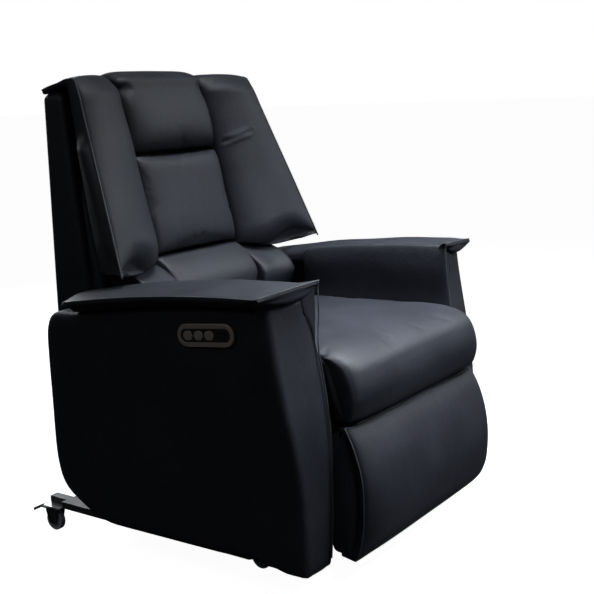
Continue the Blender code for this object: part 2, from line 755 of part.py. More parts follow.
def arm_pad_skin():
    edge = PAD_INNER_LIP / 2
    shear = PAD_CORNER_FRONT - PAD_FRONT
    rings = [arm_pad_ring(PAD_FRONT, edge, shear), arm_pad_ring(PAD_FRONT + edge / 4, edge / 3, shear),
             arm_pad_ring(PAD_FRONT + edge, 0, shear)]
    rings.extend(arm_pad_ring(y, 0, 0) for y in arm_stations()[1:-1])
    rings.append(arm_pad_ring(PAD_REAR - edge, 0, 0))
    rings.append(arm_pad_ring(PAD_REAR, edge, 0))
    return loft(rings)


# Cushions

SWELL_SHARES = (-0.7, -0.35, 0.0, 0.35, 0.7)
SWELL_POWER_SHARE = 4
EDGE_START_SHARE = 0.3


def no_swell(ring):
    return np.zeros((len(ring), 2))


def padded(outline, low, high, edge, swell, steps=3):
    """A stuffed cushion swept along X: rounded ends, and a swell that is fullest in the middle."""
    middle = (low + high) / 2
    half = (high - low) / 2
    places = []
    for step in range(steps):
        angle = math.pi / 2 * (step + EDGE_START_SHARE) / steps
        places.append((-half + edge * (1 - math.cos(angle)), edge * (1 - math.sin(angle))))
    places.extend((half * share, 0.0) for share in SWELL_SHARES if abs(half * share) < half - edge)
    places.extend((-place, draw_in) for place, draw_in in reversed(places[:steps]))
    rings = []
    for place, draw_in in places:
        ring = inset(outline, draw_in)
        fullness = 1 - (place / half)**SWELL_POWER_SHARE
        rings.append(across(ring + swell(ring) * fullness, middle + place))
    rings[0][:, 0] = low
    rings[-1][:, 0] = high
    return loft(rings)


def seat_outline():
    side_height = SEAT_HEIGHT - SEAT_CROWN
    chin = SEAT_UNDERSIDE + SEAT_CHIN_ROUND
    return filleted([(SEAT_REAR, SEAT_UNDERSIDE, SEAT_REAR_ROUND / 3),
                    (SEAT_REAR, side_height - SEAT_CROWN / 2, SEAT_REAR_ROUND),
                    (SEAT_REAR / 2 + SEAT_NOSE / 2, side_height, SEAT_NOSE_ROUND),
                    (SEAT_NOSE, side_height, SEAT_NOSE_ROUND),
                    (SEAT_NOSE + SEAT_CROWN / 4, chin, SEAT_CHIN_ROUND),
                    (FOOTREST_BACK - BRIDGE_BORDER, SEAT_UNDERSIDE, SEAT_CHIN_ROUND / 4)], 5)


def seat_swell(ring):
    share = (ring[:, 1] - SEAT_UNDERSIDE) / (SEAT_HEIGHT - SEAT_CROWN - SEAT_UNDERSIDE)
    return np.column_stack((np.zeros(len(ring)), SEAT_CROWN * np.clip(share, 0, 1)**2))


def seat(finishes):
    cushion = padded(seat_outline(), -CUSHION_HALF_WIDTH, CUSHION_HALF_WIDTH, SEAT_SIDE_ROUND, seat_swell, 4)
    soften(solid("seat_cushion", [cushion], finishes["leather"]))
    top = PLATE_TOP
    rails = [box((PLATE_OUT + FIT_GAP, PLATE_OUT + SEAT_RAIL), (SEAT_FRAME_FRONT, SEAT_FRAME_REAR),
                 (top - SEAT_RAIL_HEIGHT, top))]
    rails.append(mirrored(rails[0], -1))
    frame = solid("seat_frame", rails[:1], finishes["dark_steel"])
    reach = PLATE_OUT + SEAT_RAIL / 2
    height = (top - SEAT_CROSS_HEIGHT, top - RUN_GAP)
    bars = [box((-reach, reach), span, height) for span in seat_cross_spans()]
    fuse(frame, "seat_frame", [bars[0], rails[1], bars[1]])
    springs(finishes["bright_steel"])


def seat_cross_spans():
    """Where the front and rear cross bars lie in Y, inside the side rails' ends."""
    front = SEAT_FRAME_FRONT + RUN_GAP
    rear = SEAT_FRAME_REAR - RUN_GAP
    return (front, front + SEAT_CROSS_DEPTH), (rear - SEAT_CROSS_DEPTH, rear)


def tube(path, radius, sides=6):
    """A round wire along a level path, with square ends."""
    ahead = np.gradient(path, axis=0)
    ahead[0] = path[1] - path[0]
    ahead[-1] = path[-1] - path[-2]
    ahead /= np.linalg.norm(ahead, axis=1, keepdims=True)
    up = np.array((0.0, 0.0, 1.0))
    rings = []
    turn = np.linspace(0, 2 * math.pi, sides, endpoint=False)
    for place, direction in zip(path, ahead):
        aside = np.cross(direction, up)
        rings.append(place + radius * (np.outer(np.cos(turn), aside) + np.outer(np.sin(turn), up)))
    return loft(rings)


def springs(steel):
    """Sinuous springs hooked between the front and the rear cross bar, tied by one wire across them."""
    front, rear = seat_cross_spans()
    start = front[1] + FIT_GAP
    end = rear[0] - FIT_GAP
    share = np.linspace(0, 1, SPRING_TURNS * 4 + 1)
    hook = SPRING_WIRE * 3
    height = PLATE_TOP - SEAT_CROSS_HEIGHT / 2
    wires = []
    for number in range(SPRING_COUNT):
        middle = SPRING_PITCH * (number - (SPRING_COUNT - 1) / 2)
        swing = SPRING_SWING * np.sin(math.pi * SPRING_TURNS * share)
        along = start + 2 * hook + (end - start - 4 * hook) * share
        run = np.column_stack((middle + swing, along, np.full(len(share), height)))
        ends = [[(middle, y, height) for y in (near, far)]
                for near, far in ((start, start + hook), (end - hook, end))]
        wires.append(tube(np.vstack((ends[0], run, ends[1])), SPRING_WIRE, 5))
    made = solid("seat_springs", wires[:1], steel)
    reach = SPRING_PITCH * (SPRING_COUNT - 1) / 2 + SPRING_SWING
    tie_y = (start + end) / 2
    tie = disc_x(tie_y, height, SPRING_WIRE, -reach, reach, 6)
    fuse(made, "seat_springs", [tie, *wires[1:]])
    soften(made)


# Mechanism: plates, links and their pins, in the (y, z) plane

DRIVE_PIVOT = np.array((DRIVE_PIVOT_Y, DRIVE_PIVOT_Z))
DRIVE_ARM = np.array((DRIVE_RUN, -DRIVE_DROP))
DRIVE_KNEE = DRIVE_PIVOT + DRIVE_ARM
BOARD_PIN = np.array((LIFT_CENTRE_Y, LIFT_CENTRE_Z)) + DRIVE_ARM
CARRY = BOARD_PIN - DRIVE_KNEE
GUIDE_PIVOT = DRIVE_PIVOT + CARRY * GUIDE_SHARE
GUIDE_KNEE = DRIVE_KNEE + CARRY * GUIDE_SHARE
CONTROL_KNEE = DRIVE_KNEE + DRIVE_ARM * CONTROL_SHARE
CONTROL_PIN = BOARD_PIN + DRIVE_ARM * CONTROL_SHARE
BACK_HINGE = np.array((HINGE_Y, HINGE_Z))


def hole(place, radius, low, high, sides=16):
    return disc_x(place[0], place[1], radius + RUN_GAP, low - OVERRUN, high + OVERRUN, sides)


def pin(place, radius, low, high, sides=16):
    return disc_x(place[0], place[1], radius, low, high, sides)


HINGE_EAR_SHARES = ((0.5, -1.0), (0.9, 0.4), (0.0, 1.0), (-1.0, 0.7))


def mechanism_plate_outline():
    """A long plate with a leg down to the cross rail and an ear up to the back's hinge."""
    margin = PLATE_BORDER
    ear = [(HINGE_Y + BACK_FRAME * ahead, HINGE_Z + BACK_FRAME * up, BACK_FRAME)
           for ahead, up in HINGE_EAR_SHARES]
    y, z = GUIDE_PIVOT
    drop = DRIVE_PIVOT_Z - margin
    return filleted([(y - margin, PLATE_TOP, PIN_RADIUS), (y - margin, z - margin / 2, PIN_RADIUS),
                    (DRIVE_PIVOT_Y, drop, margin), (LEG_FRONT - margin, drop - margin / 2, margin),
                    (LEG_FRONT, BASE_TOP + FIT_GAP, 0), (LEG_REAR, BASE_TOP + FIT_GAP, 0),
                    (LEG_REAR + margin, drop - margin / 2, margin), *ear,
                    (SEAT_REAR + SEAT_CROWN, PLATE_TOP, PIN_RADIUS)], 3)


def mechanism_frame(steel):
    """A side plate on each side with a foot on the cross rail, and the motor tube welded between them."""
    rear_bar = seat_cross_spans()[1]
    notch_floor = PLATE_TOP - SEAT_CROSS_HEIGHT - FIT_GAP
    leg_middle = (LEG_FRONT + LEG_REAR) / 2
    plate = slab(mechanism_plate_outline(), PLATE_IN, PLATE_OUT)
    foot = box((PLATE_IN + PLATE / 2, BASE_RAIL_IN - FIT_GAP), (LEG_FRONT + FIT_GAP, LEG_REAR - FIT_GAP),
               (BASE_TOP + FIT_GAP * 2, BASE_TOP + FIT_GAP + PLATE))
    reach = PLATE_IN + PLATE / 2
    motor_tube = disc_x(leg_middle, MOTOR_TUBE_HEIGHT, MOTOR_TUBE_RADIUS, -reach, reach)
    holes = [hole(DRIVE_PIVOT, TORQUE_TUBE_RADIUS, PLATE_IN, PLATE_OUT),
             hole(GUIDE_PIVOT, PIN_RADIUS, PLATE_IN, PLATE_OUT),
             hole(BACK_HINGE, TORQUE_TUBE_RADIUS, PLATE_IN, PLATE_OUT),
             box((PLATE_IN - OVERRUN, PLATE_OUT + OVERRUN), (rear_bar[0] - FIT_GAP, rear_bar[1] + FIT_GAP),
                 (notch_floor, PLATE_TOP + OVERRUN)),
             link((np.array((leg_middle, DRIVE_PIVOT_Z - 2 * LINK_WIDTH)),
                   np.array((leg_middle, MOTOR_TUBE_HEIGHT + 2 * LINK_WIDTH))), LINK_WIDTH,
                  PLATE_IN - OVERRUN, PLATE_OUT + OVERRUN)]
    frame = solid("mechanism_frame", [plate], steel)
    fuse(frame, "mechanism_frame", [foot, motor_tube, mirrored(plate, -1), mirrored(foot, -1)])
    for side, name in SIDES:
        cut(frame, f"mechanism_plate_{name}", [mirrored(each, side) for each in holes])


def links(finishes):
    """Per side: a drive and a guide arm on the plate, and a carry and a control link to the footrest."""
    steel = finishes["bright_steel"]
    on_arm = (LINK_WIDTH, ARM_LINK_IN, ARM_LINK_OUT)
    on_carry = (LINK_WIDTH, CARRY_LINK_IN, CARRY_LINK_OUT)
    holed = (PIN_RADIUS, ARM_LINK_IN, ARM_LINK_OUT)
    pinned = (PIN_RADIUS, CARRY_LINK_IN + LINK / 2, ARM_LINK_OUT)
    drive = solid("drive_arms", [pin(DRIVE_PIVOT, TORQUE_TUBE_RADIUS, -PLATE_OUT, PLATE_OUT)], steel,
                  (0.0, *DRIVE_PIVOT))
    arms_skins = [mirrored(link((DRIVE_PIVOT, CONTROL_KNEE), *on_arm), side) for side, _ in SIDES]
    crank_half = CRANK_PLATE / 2
    crank = link((DRIVE_PIVOT, foot_crank_pin(0)), 2 * TORQUE_TUBE_RADIUS - RUN_GAP,
                 FOOT_MOTOR_X - crank_half, FOOT_MOTOR_X + crank_half)
    pin_reach = crank_half + RUN_GAP + CARRIAGE_WALL
    crank_pin = pin(foot_crank_pin(0), CRANK_PIN_RADIUS,
                    FOOT_MOTOR_X - pin_reach, FOOT_MOTOR_X + pin_reach, 12)
    fuse(drive, "drive_arms", [*arms_skins, crank, crank_pin])
    for side, name in SIDES:
        holes = [hole(place, *holed) for place in (DRIVE_KNEE, CONTROL_KNEE)]
        cut(drive, f"drive_arm_{name}", [mirrored(each, side) for each in holes])
        guide = solid(f"guide_arm_{name}", [mirrored(link((GUIDE_PIVOT, GUIDE_KNEE), *on_arm), side)],
                      steel, (0.0, *GUIDE_PIVOT))
        stub = pin(GUIDE_PIVOT, PIN_RADIUS, ARM_LINK_OUT - LINK / 2, PLATE_OUT)
        fuse(guide, f"guide_arm_{name}", [mirrored(stub, side)])
        cut(guide, f"guide_arm_{name}", [mirrored(hole(GUIDE_KNEE, *holed), side)])
        carry = solid(f"carry_link_{name}", [mirrored(link((DRIVE_KNEE, BOARD_PIN), *on_carry), side)],
                      steel, (0.0, *DRIVE_KNEE))
        fuse(carry, f"carry_link_{name}",
             [mirrored(pin(place, *pinned), side) for place in (DRIVE_KNEE, GUIDE_KNEE, BOARD_PIN)])
        control = solid(f"control_link_{name}",
                        [mirrored(link((CONTROL_KNEE, CONTROL_PIN), *on_carry), side)],
                        steel, (0.0, *CONTROL_KNEE))
        fuse(control, f"control_link_{name}",
             [mirrored(pin(place, *pinned), side) for place in (CONTROL_KNEE, CONTROL_PIN)])


# Motors and their carriages

def swung_pin(pivot, length, swing, angle):
    """A crank pin that hangs below its pivot and swings the same way to both sides of the upright."""
    lean = swing * CRANK_SHARE - angle
    return pivot + length * np.array((math.sin(lean), -math.cos(lean)))


def foot_crank_pin(angle):
    return swung_pin(DRIVE_PIVOT, CRANK_LENGTH, FOOT_SWING, angle)


def back_crank_pin(angle):
    return swung_pin(BACK_HINGE, BACK_CRANK, BACK_SWING, angle)


def motor_floor():
    return MOTOR_RAIL_TOP + SIDE_PLAY * 2 - MOTOR_HEIGHT


def motor(name, x, rail_end, colour):
    """A gear motor housing on the motor tube, and the rail that its carriage runs on."""
    half = MOTOR_WIDTH / 2
    low = motor_floor()
    corner = MOTOR_HEIGHT / 6
    high = low + MOTOR_HEIGHT
    housing = rounded([(MOTOR_FRONT, low, corner), (MOTOR_REAR, low, corner),
                       (MOTOR_REAR, high, corner), (MOTOR_FRONT, high, corner)], 3)
    made = solid(name, [slab(housing, x - half, x + half, corner / 2, corner / 2, 2)], colour)
    middle = (MOTOR_FRONT + MOTOR_REAR) / 2
    span = sorted((middle, rail_end))
    rail_half = MOTOR_RAIL_WIDTH / 2
    rail = box((x - rail_half, x + rail_half), span, (MOTOR_RAIL_TOP - MOTOR_RAIL_HEIGHT, MOTOR_RAIL_TOP))
    fuse(made, name, [rail])
    soften(made)


def carriage(name, x, pin_rest, pin_low, pin_high, colour):
    """A block on the rail with a groove for the crank and an upright slot for the crank's pin."""
    wall = CARRIAGE_WALL
    groove = CRANK_PLATE / 2 + RUN_GAP
    half = groove + wall
    slot_half = CRANK_PIN_RADIUS + SLOT_PLAY
    length = slot_half + wall
    y = pin_rest[0]
    bottom = MOTOR_RAIL_TOP + FIT_GAP
    slot_low = pin_low - CRANK_PIN_RADIUS - RUN_GAP * 2
    slot_high = pin_high + CRANK_PIN_RADIUS + RUN_GAP * 2
    body = box((x - half, x + half), (y - length, y + length), (bottom, slot_high + wall))
    block = solid(name, [body], colour, (x, y, bottom))
    groove_floor = pin_low - TORQUE_TUBE_RADIUS - RUN_GAP * 2
    cut(block, name, [box((x - groove, x + groove), (y - length - OVERRUN, y + length + OVERRUN),
                          (groove_floor, slot_high + wall + OVERRUN)),
                      box((x - half - OVERRUN, x + half + OVERRUN), (y - slot_half, y + slot_half),
                          (slot_low, slot_high))])


def motors(finishes):
    motor("footrest_motor", FOOT_MOTOR_X, FOOT_RAIL_FRONT, finishes["black_plastic"])
    back_rest = back_crank_pin(0)
    back_rail_end = back_rest[0] + CRANK_PIN_RADIUS + SLOT_PLAY + CARRIAGE_WALL
    motor("back_motor", BACK_MOTOR_X, back_rail_end, finishes["black_plastic"])
    lowest_foot = DRIVE_PIVOT_Z - CRANK_LENGTH
    carriage("footrest_carriage", FOOT_MOTOR_X, foot_crank_pin(0), lowest_foot, foot_crank_pin(0)[1],
             finishes["grey_plastic"])
    lowest_back = HINGE_Z - BACK_CRANK
    carriage("back_carriage", BACK_MOTOR_X, back_rest, lowest_back, back_rest[1], finishes["grey_plastic"])


# Footrest

FOOTREST_BULGE_SHARE = 0.8
FLANGE_SHARE = 0.7


def footrest_outline():
    """A tall cover with a straight back and a front that bulges below its middle."""
    share = np.linspace(0, 1, 9)[1:-1]
    bulge = np.sin(math.pi * share**FOOTREST_BULGE_SHARE)
    shallow = FOOTREST_BACK - FOOTREST_TOP_DEPTH
    front = shallow + (FOOTREST_FRONT - shallow) * bulge / bulge.max()
    height = FOOTREST_BOTTOM + (FOOTREST_TOP - FOOTREST_BOTTOM) * share
    corner = FOOTREST_EDGE_ROUND
    corners = [(FOOTREST_BACK, FOOTREST_BOTTOM, corner / 3), (shallow, FOOTREST_BOTTOM, corner)]
    corners.extend((y, z, 0) for y, z in zip(front, height))
    corners.extend([(shallow + corner / 3, FOOTREST_TOP, corner), (FOOTREST_BACK, FOOTREST_TOP, corner / 3)])
    return filleted(corners, 3)


def footrest(finishes):
    pivot = (0.0, LIFT_CENTRE_Y, LIFT_CENTRE_Z)
    cover = padded(footrest_outline(), -CUSHION_HALF_WIDTH, CUSHION_HALF_WIDTH, FOOTREST_EDGE_ROUND,
                   no_swell, 3)
    soften(solid("footrest_cushion", [cover], finishes["leather"], pivot))
    border = FOOTREST_BOARD_BORDER
    board_front = FOOTREST_BACK + FIT_GAP
    board_back = board_front + FOOTREST_BOARD
    board = box((border - CUSHION_HALF_WIDTH, CUSHION_HALF_WIDTH - border), (board_front, board_back),
                (FOOTREST_BOTTOM + border, FOOTREST_TOP - border))
    solid("footrest_board", [board], finishes["plywood"], pivot)
    start = board_back + FIT_GAP
    margin = LINK_WIDTH / 2
    rear = CONTROL_PIN[0] + margin
    outline = rounded([(start, BOARD_PIN[1] + 2 * margin, 0), (start, CONTROL_PIN[1] - 2 * margin, 0),
                       (rear, CONTROL_PIN[1] - margin, margin),
                       (BOARD_PIN[0] + margin, BOARD_PIN[1] + margin, margin)], 3)
    reach = ARM_LINK_IN + LINK / 2
    strap = box((-reach, reach), (start + FIT_GAP, start + LINK * FLANGE_SHARE),
                (CONTROL_PIN[1] - margin, BOARD_PIN[1] + margin))
    bracket = solid("footrest_bracket", [strap], finishes["dark_steel"], pivot)
    plate = slab(outline, ARM_LINK_IN, ARM_LINK_OUT)
    fuse(bracket, "footrest_bracket", [mirrored(plate, side) for side, _ in SIDES])
    holes = [hole(place, PIN_RADIUS, ARM_LINK_IN, ARM_LINK_OUT) for place in (BOARD_PIN, CONTROL_PIN)]
    for side, name in SIDES:
        cut(bracket, f"footrest_bracket_{name}", [mirrored(each, side) for each in holes])
    bridge_top = SEAT_UNDERSIDE - FIT_GAP
    bridge = box((BRIDGE_BORDER - CUSHION_HALF_WIDTH, CUSHION_HALF_WIDTH - BRIDGE_BORDER),
                 (FOOTREST_BACK - BRIDGE_BORDER, SEAT_FRAME_FRONT + FIT_GAP),
                 (bridge_top - BRIDGE_THICKNESS, bridge_top))
    solid("bridge_flap", [bridge], finishes["leather"])


# Back

GROOVE_LOW = 0.224
GROOVE_SLOPE_SHARE = 0.262
LUMBAR_FRONT = 0.147
LUMBAR_SIDE_FRONT = 0.120
PLATE_CLEAR = 0.032
HINGE_RAISE = 0.040
FRAME_BAR_HEIGHT = 0.030


def frame_line(z):
    """The middle of the back's steel frame, which leans back from the hinge."""
    return HINGE_Y + BACK_LEAN_SHARE * (z - HINGE_Z)


def frame_half():
    """Half the frame's depth, measured level."""
    return BACK_FRAME / 2 * math.hypot(1, BACK_LEAN_SHARE)


def pad_rear(z):
    return frame_line(z) - frame_half() - FIT_GAP


def shell_front(z):
    beside_plates = HINGE_Y + PLATE_CLEAR * (z < HINGE_Z + HINGE_RAISE)
    return np.maximum(frame_line(z) + frame_half() + FIT_GAP, beside_plates)


def groove_line(z):
    """How far forward the grooves beside the centre cushions come."""
    return GROOVE_LOW + GROOVE_SLOPE_SHARE * (z - LUMBAR_TOP)


def lean_bar(middle):
    """A cross bar as deep as the uprights, so that a cushion seats on it."""
    half = frame_half() - FIT_GAP / 3
    low, high = middle - FRAME_BAR_HEIGHT / 2, middle + FRAME_BAR_HEIGHT / 2
    return np.array([(frame_line(low) - half, low), (frame_line(low) + half, low),
                     (frame_line(high) + half, high), (frame_line(high) - half, high)])


def back_frame(finishes):
    """Two leaning uprights on the hinge tube, cross bars between them, and the motor's crank."""
    top = np.array((frame_line(BACK_FRAME_TOP), BACK_FRAME_TOP))
    frame = solid("back_frame", [pin(BACK_HINGE, TORQUE_TUBE_RADIUS, -PLATE_OUT, PLATE_OUT)],
                  finishes["dark_steel"], (0.0, *BACK_HINGE))
    inner = ARM_LINK_OUT - BACK_FRAME_BAR
    uprights = [mirrored(link((BACK_HINGE, top), BACK_FRAME, inner, ARM_LINK_OUT), side) for side, _ in SIDES]
    reach = ARM_LINK_OUT - BACK_FRAME_BAR / 2
    middles = ((LUMBAR_BOTTOM + LUMBAR_TOP) / 2, (LUMBAR_TOP + MID_TOP) / 2,
               BACK_FRAME_TOP - FRAME_BAR_HEIGHT)
    bars = [slab(lean_bar(z), -reach, reach) for z in middles]
    half = CRANK_PLATE / 2
    crank = link((BACK_HINGE, back_crank_pin(0)), 2 * TORQUE_TUBE_RADIUS - RUN_GAP,
                 BACK_MOTOR_X - half, BACK_MOTOR_X + half)
    pin_reach = half + RUN_GAP + CARRIAGE_WALL
    crank_pin = pin(back_crank_pin(0), CRANK_PIN_RADIUS,
                    BACK_MOTOR_X - pin_reach, BACK_MOTOR_X + pin_reach, 12)
    fuse(frame, "back_frame", [*uprights, *bars, crank, crank_pin])


def level_ring(outline, z):
    return np.column_stack((outline, np.full(len(outline), z)))


def back_shell(finishes):
    """The upholstered rear shell, with a thick round bolster down each side."""
    rings = []
    rear_top = float(shell_front(SHELL_TOP)) + SHELL_TOP_DEPTH
    step_up = HINGE_Z + HINGE_RAISE
    heights = [SHELL_BOTTOM, SHELL_BOTTOM + SHELL_ROUND / 3, step_up - FIT_GAP]
    heights.extend(np.linspace(step_up, SHELL_TOP - SHELL_ROUND / 2, 5))
    heights.extend([SHELL_TOP - SHELL_ROUND / 6, SHELL_TOP])
    draws = [SHELL_ROUND / 4, 0] + [0] * (len(heights) - 4) + [SHELL_ROUND / 8, SHELL_ROUND / 2]
    for z, draw_in in zip(heights, draws):
        share = (z - SHELL_BOTTOM) / (SHELL_TOP - SHELL_BOTTOM)
        rear = SHELL_REAR_LOW + (rear_top - SHELL_REAR_LOW) * share
        half = SHELL_HALF_WIDTH
        front = float(shell_front(z))
        corners = [(-half, front, SHELL_ROUND), (half, front, SHELL_ROUND),
                   (half, rear, SHELL_ROUND), (-half, rear, SHELL_ROUND)]
        rings.append(level_ring(rounded(corners, 4, draw_in), z))
    soften(solid("back_shell", [loft(rings)], finishes["leather"], (0.0, *BACK_HINGE)))


def pad_outline(low, high, front, corner):
    """A back cushion's section: the frame's slope behind, and the given front between low and high."""
    heights = np.linspace(low, high, 9)[1:-1]
    corners = [(pad_rear(low), low, corner / 4)]
    corners.append((front(low), low, corner))
    corners.extend((front(z), z, 0) for z in heights)
    corners.append((front(high), high, corner))
    corners.append((pad_rear(high), high, corner / 4))
    return filleted(corners, 3)


def front_swell(low, high, crown):
    """A swell towards the front that is fullest at half height and dies out at the frame."""
    def swell(ring):
        share = np.clip((ring[:, 1] - low) / (high - low), 0, 1)
        rear = pad_rear(ring[:, 1])
        ahead = np.clip((rear - ring[:, 0]) / (rear - groove_line(ring[:, 1])), 0, 1)
        return np.column_stack((-crown * np.sin(math.pi * share) * ahead, np.zeros(len(ring))))
    return swell


LUMBAR_FULL_SHARE = 0.42
LUMBAR_FULL_RISE = 0.038
LUMBAR_SIDE_TOP_DROP = 0.022


def lumbar_front(face):
    """The lumbar row's front: fullest a little below its top, tucked in behind the seat."""
    def front(z):
        full = max(LUMBAR_TOP - (LUMBAR_TOP - LUMBAR_BOTTOM) * LUMBAR_FULL_SHARE,
                   SEAT_HEIGHT + LUMBAR_FULL_RISE)
        tucked = max(face, SEAT_REAR + SIDE_PLAY * 2)
        if z > full:
            share = (z - full) / (LUMBAR_TOP - full)
            return face + (groove_line(LUMBAR_TOP) - face) * share**2
        share = min((full - z) / (full - SEAT_HEIGHT), 1)
        return face + (tucked - face) * share
    return front


def centre_cushions(finishes):
    pivot = (0.0, *BACK_HINGE)
    half = CENTRE_HALF_WIDTH
    leather = finishes["leather"]
    edge = CUSHION_ROUND / 2
    lumbar = pad_outline(LUMBAR_BOTTOM, LUMBAR_TOP, lumbar_front(LUMBAR_FRONT), CUSHION_ROUND)
    soften(solid("lumbar_cushion", [padded(lumbar, -half, half, edge, no_swell)], leather, pivot))
    side = pad_outline(LUMBAR_BOTTOM + SIDE_PLAY * 4, LUMBAR_TOP - LUMBAR_SIDE_TOP_DROP,
                       lumbar_front(LUMBAR_SIDE_FRONT), CUSHION_ROUND)
    for sign, name in SIDES:
        skin = padded(side, half + GROOVE, LUMBAR_SIDE_OUT, edge, no_swell)
        soften(solid(f"lumbar_side_{name}", [mirrored(skin, sign)], leather, pivot))
    low = LUMBAR_TOP + GROOVE
    mid = pad_outline(low, MID_TOP, groove_line, CUSHION_ROUND)
    skin = padded(mid, -half, half, edge, front_swell(low, MID_TOP, MID_CROWN))
    soften(solid("mid_cushion", [skin], leather, pivot))
    low = MID_TOP + GROOVE
    heights = np.linspace(low, HEAD_TOP - CUSHION_ROUND, 8)[1:]
    over = SHELL_TOP + GROOVE
    corners = [(pad_rear(low), low, 0), (groove_line(low), low, CUSHION_ROUND)]
    corners.extend((groove_line(z), z, 0) for z in heights)
    rear = groove_line(HEAD_TOP) + HEAD_DEPTH
    corners.extend([(groove_line(HEAD_TOP) + CUSHION_ROUND, HEAD_TOP, CUSHION_ROUND),
                    (rear, HEAD_TOP - CUSHION_ROUND / 2, CUSHION_ROUND),
                    (rear, over, CUSHION_ROUND / 4), (pad_rear(over), over, 0)])
    skin = padded(filleted(corners, 3), -half, half, edge, front_swell(low, HEAD_TOP, HEAD_CROWN))
    soften(solid("headrest_cushion", [skin], leather, pivot))


# Wings

WING_LEVELS = 9
WING_FACE_SHARES = ((0.12, 0.55), (0.35, 1.0), (0.62, 0.85), (0.88, 0.35))
WING_REAR_SLOPE_SHARE = 0.157
WING_REAR_LOW = 0.252
WING_END_ROUND = 0.012


def wing_outline(z):
    """A wedge in plan: deep at the outer front seam, thin at the groove beside the centre cushions."""
    share = (z - WING_BOTTOM) / (WING_TOP - WING_BOTTOM)
    tip = np.array((ARM_IN + WING_TIP_REACH, WING_TIP_Y))
    top = np.array((ARM_IN + WING_TOP_REACH, groove_line(WING_TOP) - WING_TOP_AHEAD))
    seam = tip + (top - tip) * share
    inner = CENTRE_HALF_WIDTH + GROOVE
    groove = np.array((inner, groove_line(z)))
    rear = min(pad_rear(z), WING_REAR_LOW + WING_REAR_SLOPE_SHARE * (z - WING_BOTTOM))
    points = [(inner, pad_rear(z)), tuple(groove)]
    normal = np.array((seam[1] - groove[1], groove[0] - seam[0]))
    normal = normal / np.linalg.norm(normal)
    for along, fullness in WING_FACE_SHARES:
        points.append(tuple(groove + (seam - groove) * along + normal * WING_SWELL * fullness))
    points.append(tuple(seam))
    outer_rear = np.array((WING_REAR_X, rear))
    points.append(tuple((seam + outer_rear) / 2 + np.array((WING_END_ROUND / 2, 0))))
    points.append(tuple(outer_rear))
    points.append((PLATE_OUT, pad_rear(z)))
    return np.array(points)


def wings(finishes):
    heights = np.linspace(WING_BOTTOM, WING_TOP, WING_LEVELS)
    rings = [level_ring(inset(wing_outline(WING_BOTTOM), WING_END_ROUND / 2), WING_BOTTOM)]
    rings.append(level_ring(wing_outline(WING_BOTTOM + WING_END_ROUND / 2), WING_BOTTOM + WING_END_ROUND / 2))
    rings.extend(level_ring(wing_outline(z), z) for z in heights[1:-1])
    rings.append(level_ring(wing_outline(WING_TOP - WING_END_ROUND), WING_TOP - WING_END_ROUND))
    rings.append(level_ring(inset(wing_outline(WING_TOP), WING_END_ROUND / 2), WING_TOP))
    for side, name in SIDES:
        soften(solid(f"wing_{name}", [mirrored(loft(rings), side)], finishes["leather"], (0.0, *BACK_HINGE)))


# Rear cover, power inlet and control box

CONTROL_BOX_LENGTH = 0.110
CONTROL_BOX_SETIN = 0.031


def rear_and_electrics(finishes):
    half = ARM_SHELL_IN - SIDE_PLAY / 2
    bottom = BASE_TOP + FIT_GAP
    cover = solid("rear_cover", [box((-half, half), (COVER_REAR - COVER_THICKNESS, COVER_REAR),
                                     (bottom, bottom + COVER_HEIGHT))], finishes["cover_cloth"])
    z = bottom + COVER_HEIGHT / 3
    across_half, up_half = INLET_WIDTH / 2, INLET_HEIGHT / 2
    cut(cover, "rear_cover", [box((INLET_X - across_half - FIT_GAP, INLET_X + across_half + FIT_GAP),
                                  (COVER_REAR - COVER_THICKNESS - OVERRUN, COVER_REAR + OVERRUN),
                                  (z - up_half - FIT_GAP, z + up_half + FIT_GAP))])
    face = COVER_REAR + SOCKET_DEPTH
    inlet = solid("power_inlet", [box((INLET_X - across_half, INLET_X + across_half),
                                      (face - INLET_DEPTH, face), (z - up_half, z + up_half))],
                  finishes["black_plastic"])
    wall = INLET_WALL
    cut(inlet, "power_inlet", [box((INLET_X - across_half + wall, INLET_X + across_half - wall),
                                   (face - INLET_DEPTH + wall * 2, face + OVERRUN),
                                   (z - up_half + wall, z + up_half - wall))])
    middle = (CROSS_RAIL_FRONT + CROSS_RAIL_REAR) / 2
    reach = (CROSS_RAIL_REAR - CROSS_RAIL_FRONT) / 2 - SIDE_PLAY
    long_half = CONTROL_BOX_LENGTH / 2
    case_x = CONTROL_BOX_SETIN + long_half - PLATE_IN
    case = box((case_x - long_half, case_x + long_half), (middle - reach, middle + reach),
               (bottom, MOTOR_TUBE_HEIGHT - MOTOR_TUBE_RADIUS - SIDE_PLAY * 2))
    solid("control_box", [case], finishes["black_plastic"])


# Control panel

BUTTON_PLACE_SHARES = (-1.6, -0.6, 0.4)
SOCKET_PLACE_SHARE = 1.58


def panel_outline(length, height, place=0.0):
    """An outline with round ends on the panel's tilted line, so many metres towards the chair's front."""
    ahead = np.array((-math.cos(PANEL_TILT), math.sin(PANEL_TILT)))
    centre = np.array((PANEL_Y, PANEL_Z)) + ahead * place
    reach = ahead * (length - height) / 2
    return link_outline(centre - reach, centre + reach, height, 8)


def switch_box_skin(margin, reach):
    """The switch housing behind the panel; a margin below zero makes it larger all round."""
    length = PANEL_LENGTH - 2 * SWITCH_BOX_BORDER
    height = PANEL_HEIGHT - 2 * SWITCH_BOX_BORDER
    outline = inset(panel_outline(length, height), margin)
    return slab(outline, -ARM_OUT - reach, -ARM_OUT + SWITCH_BOX_DEPTH - margin)


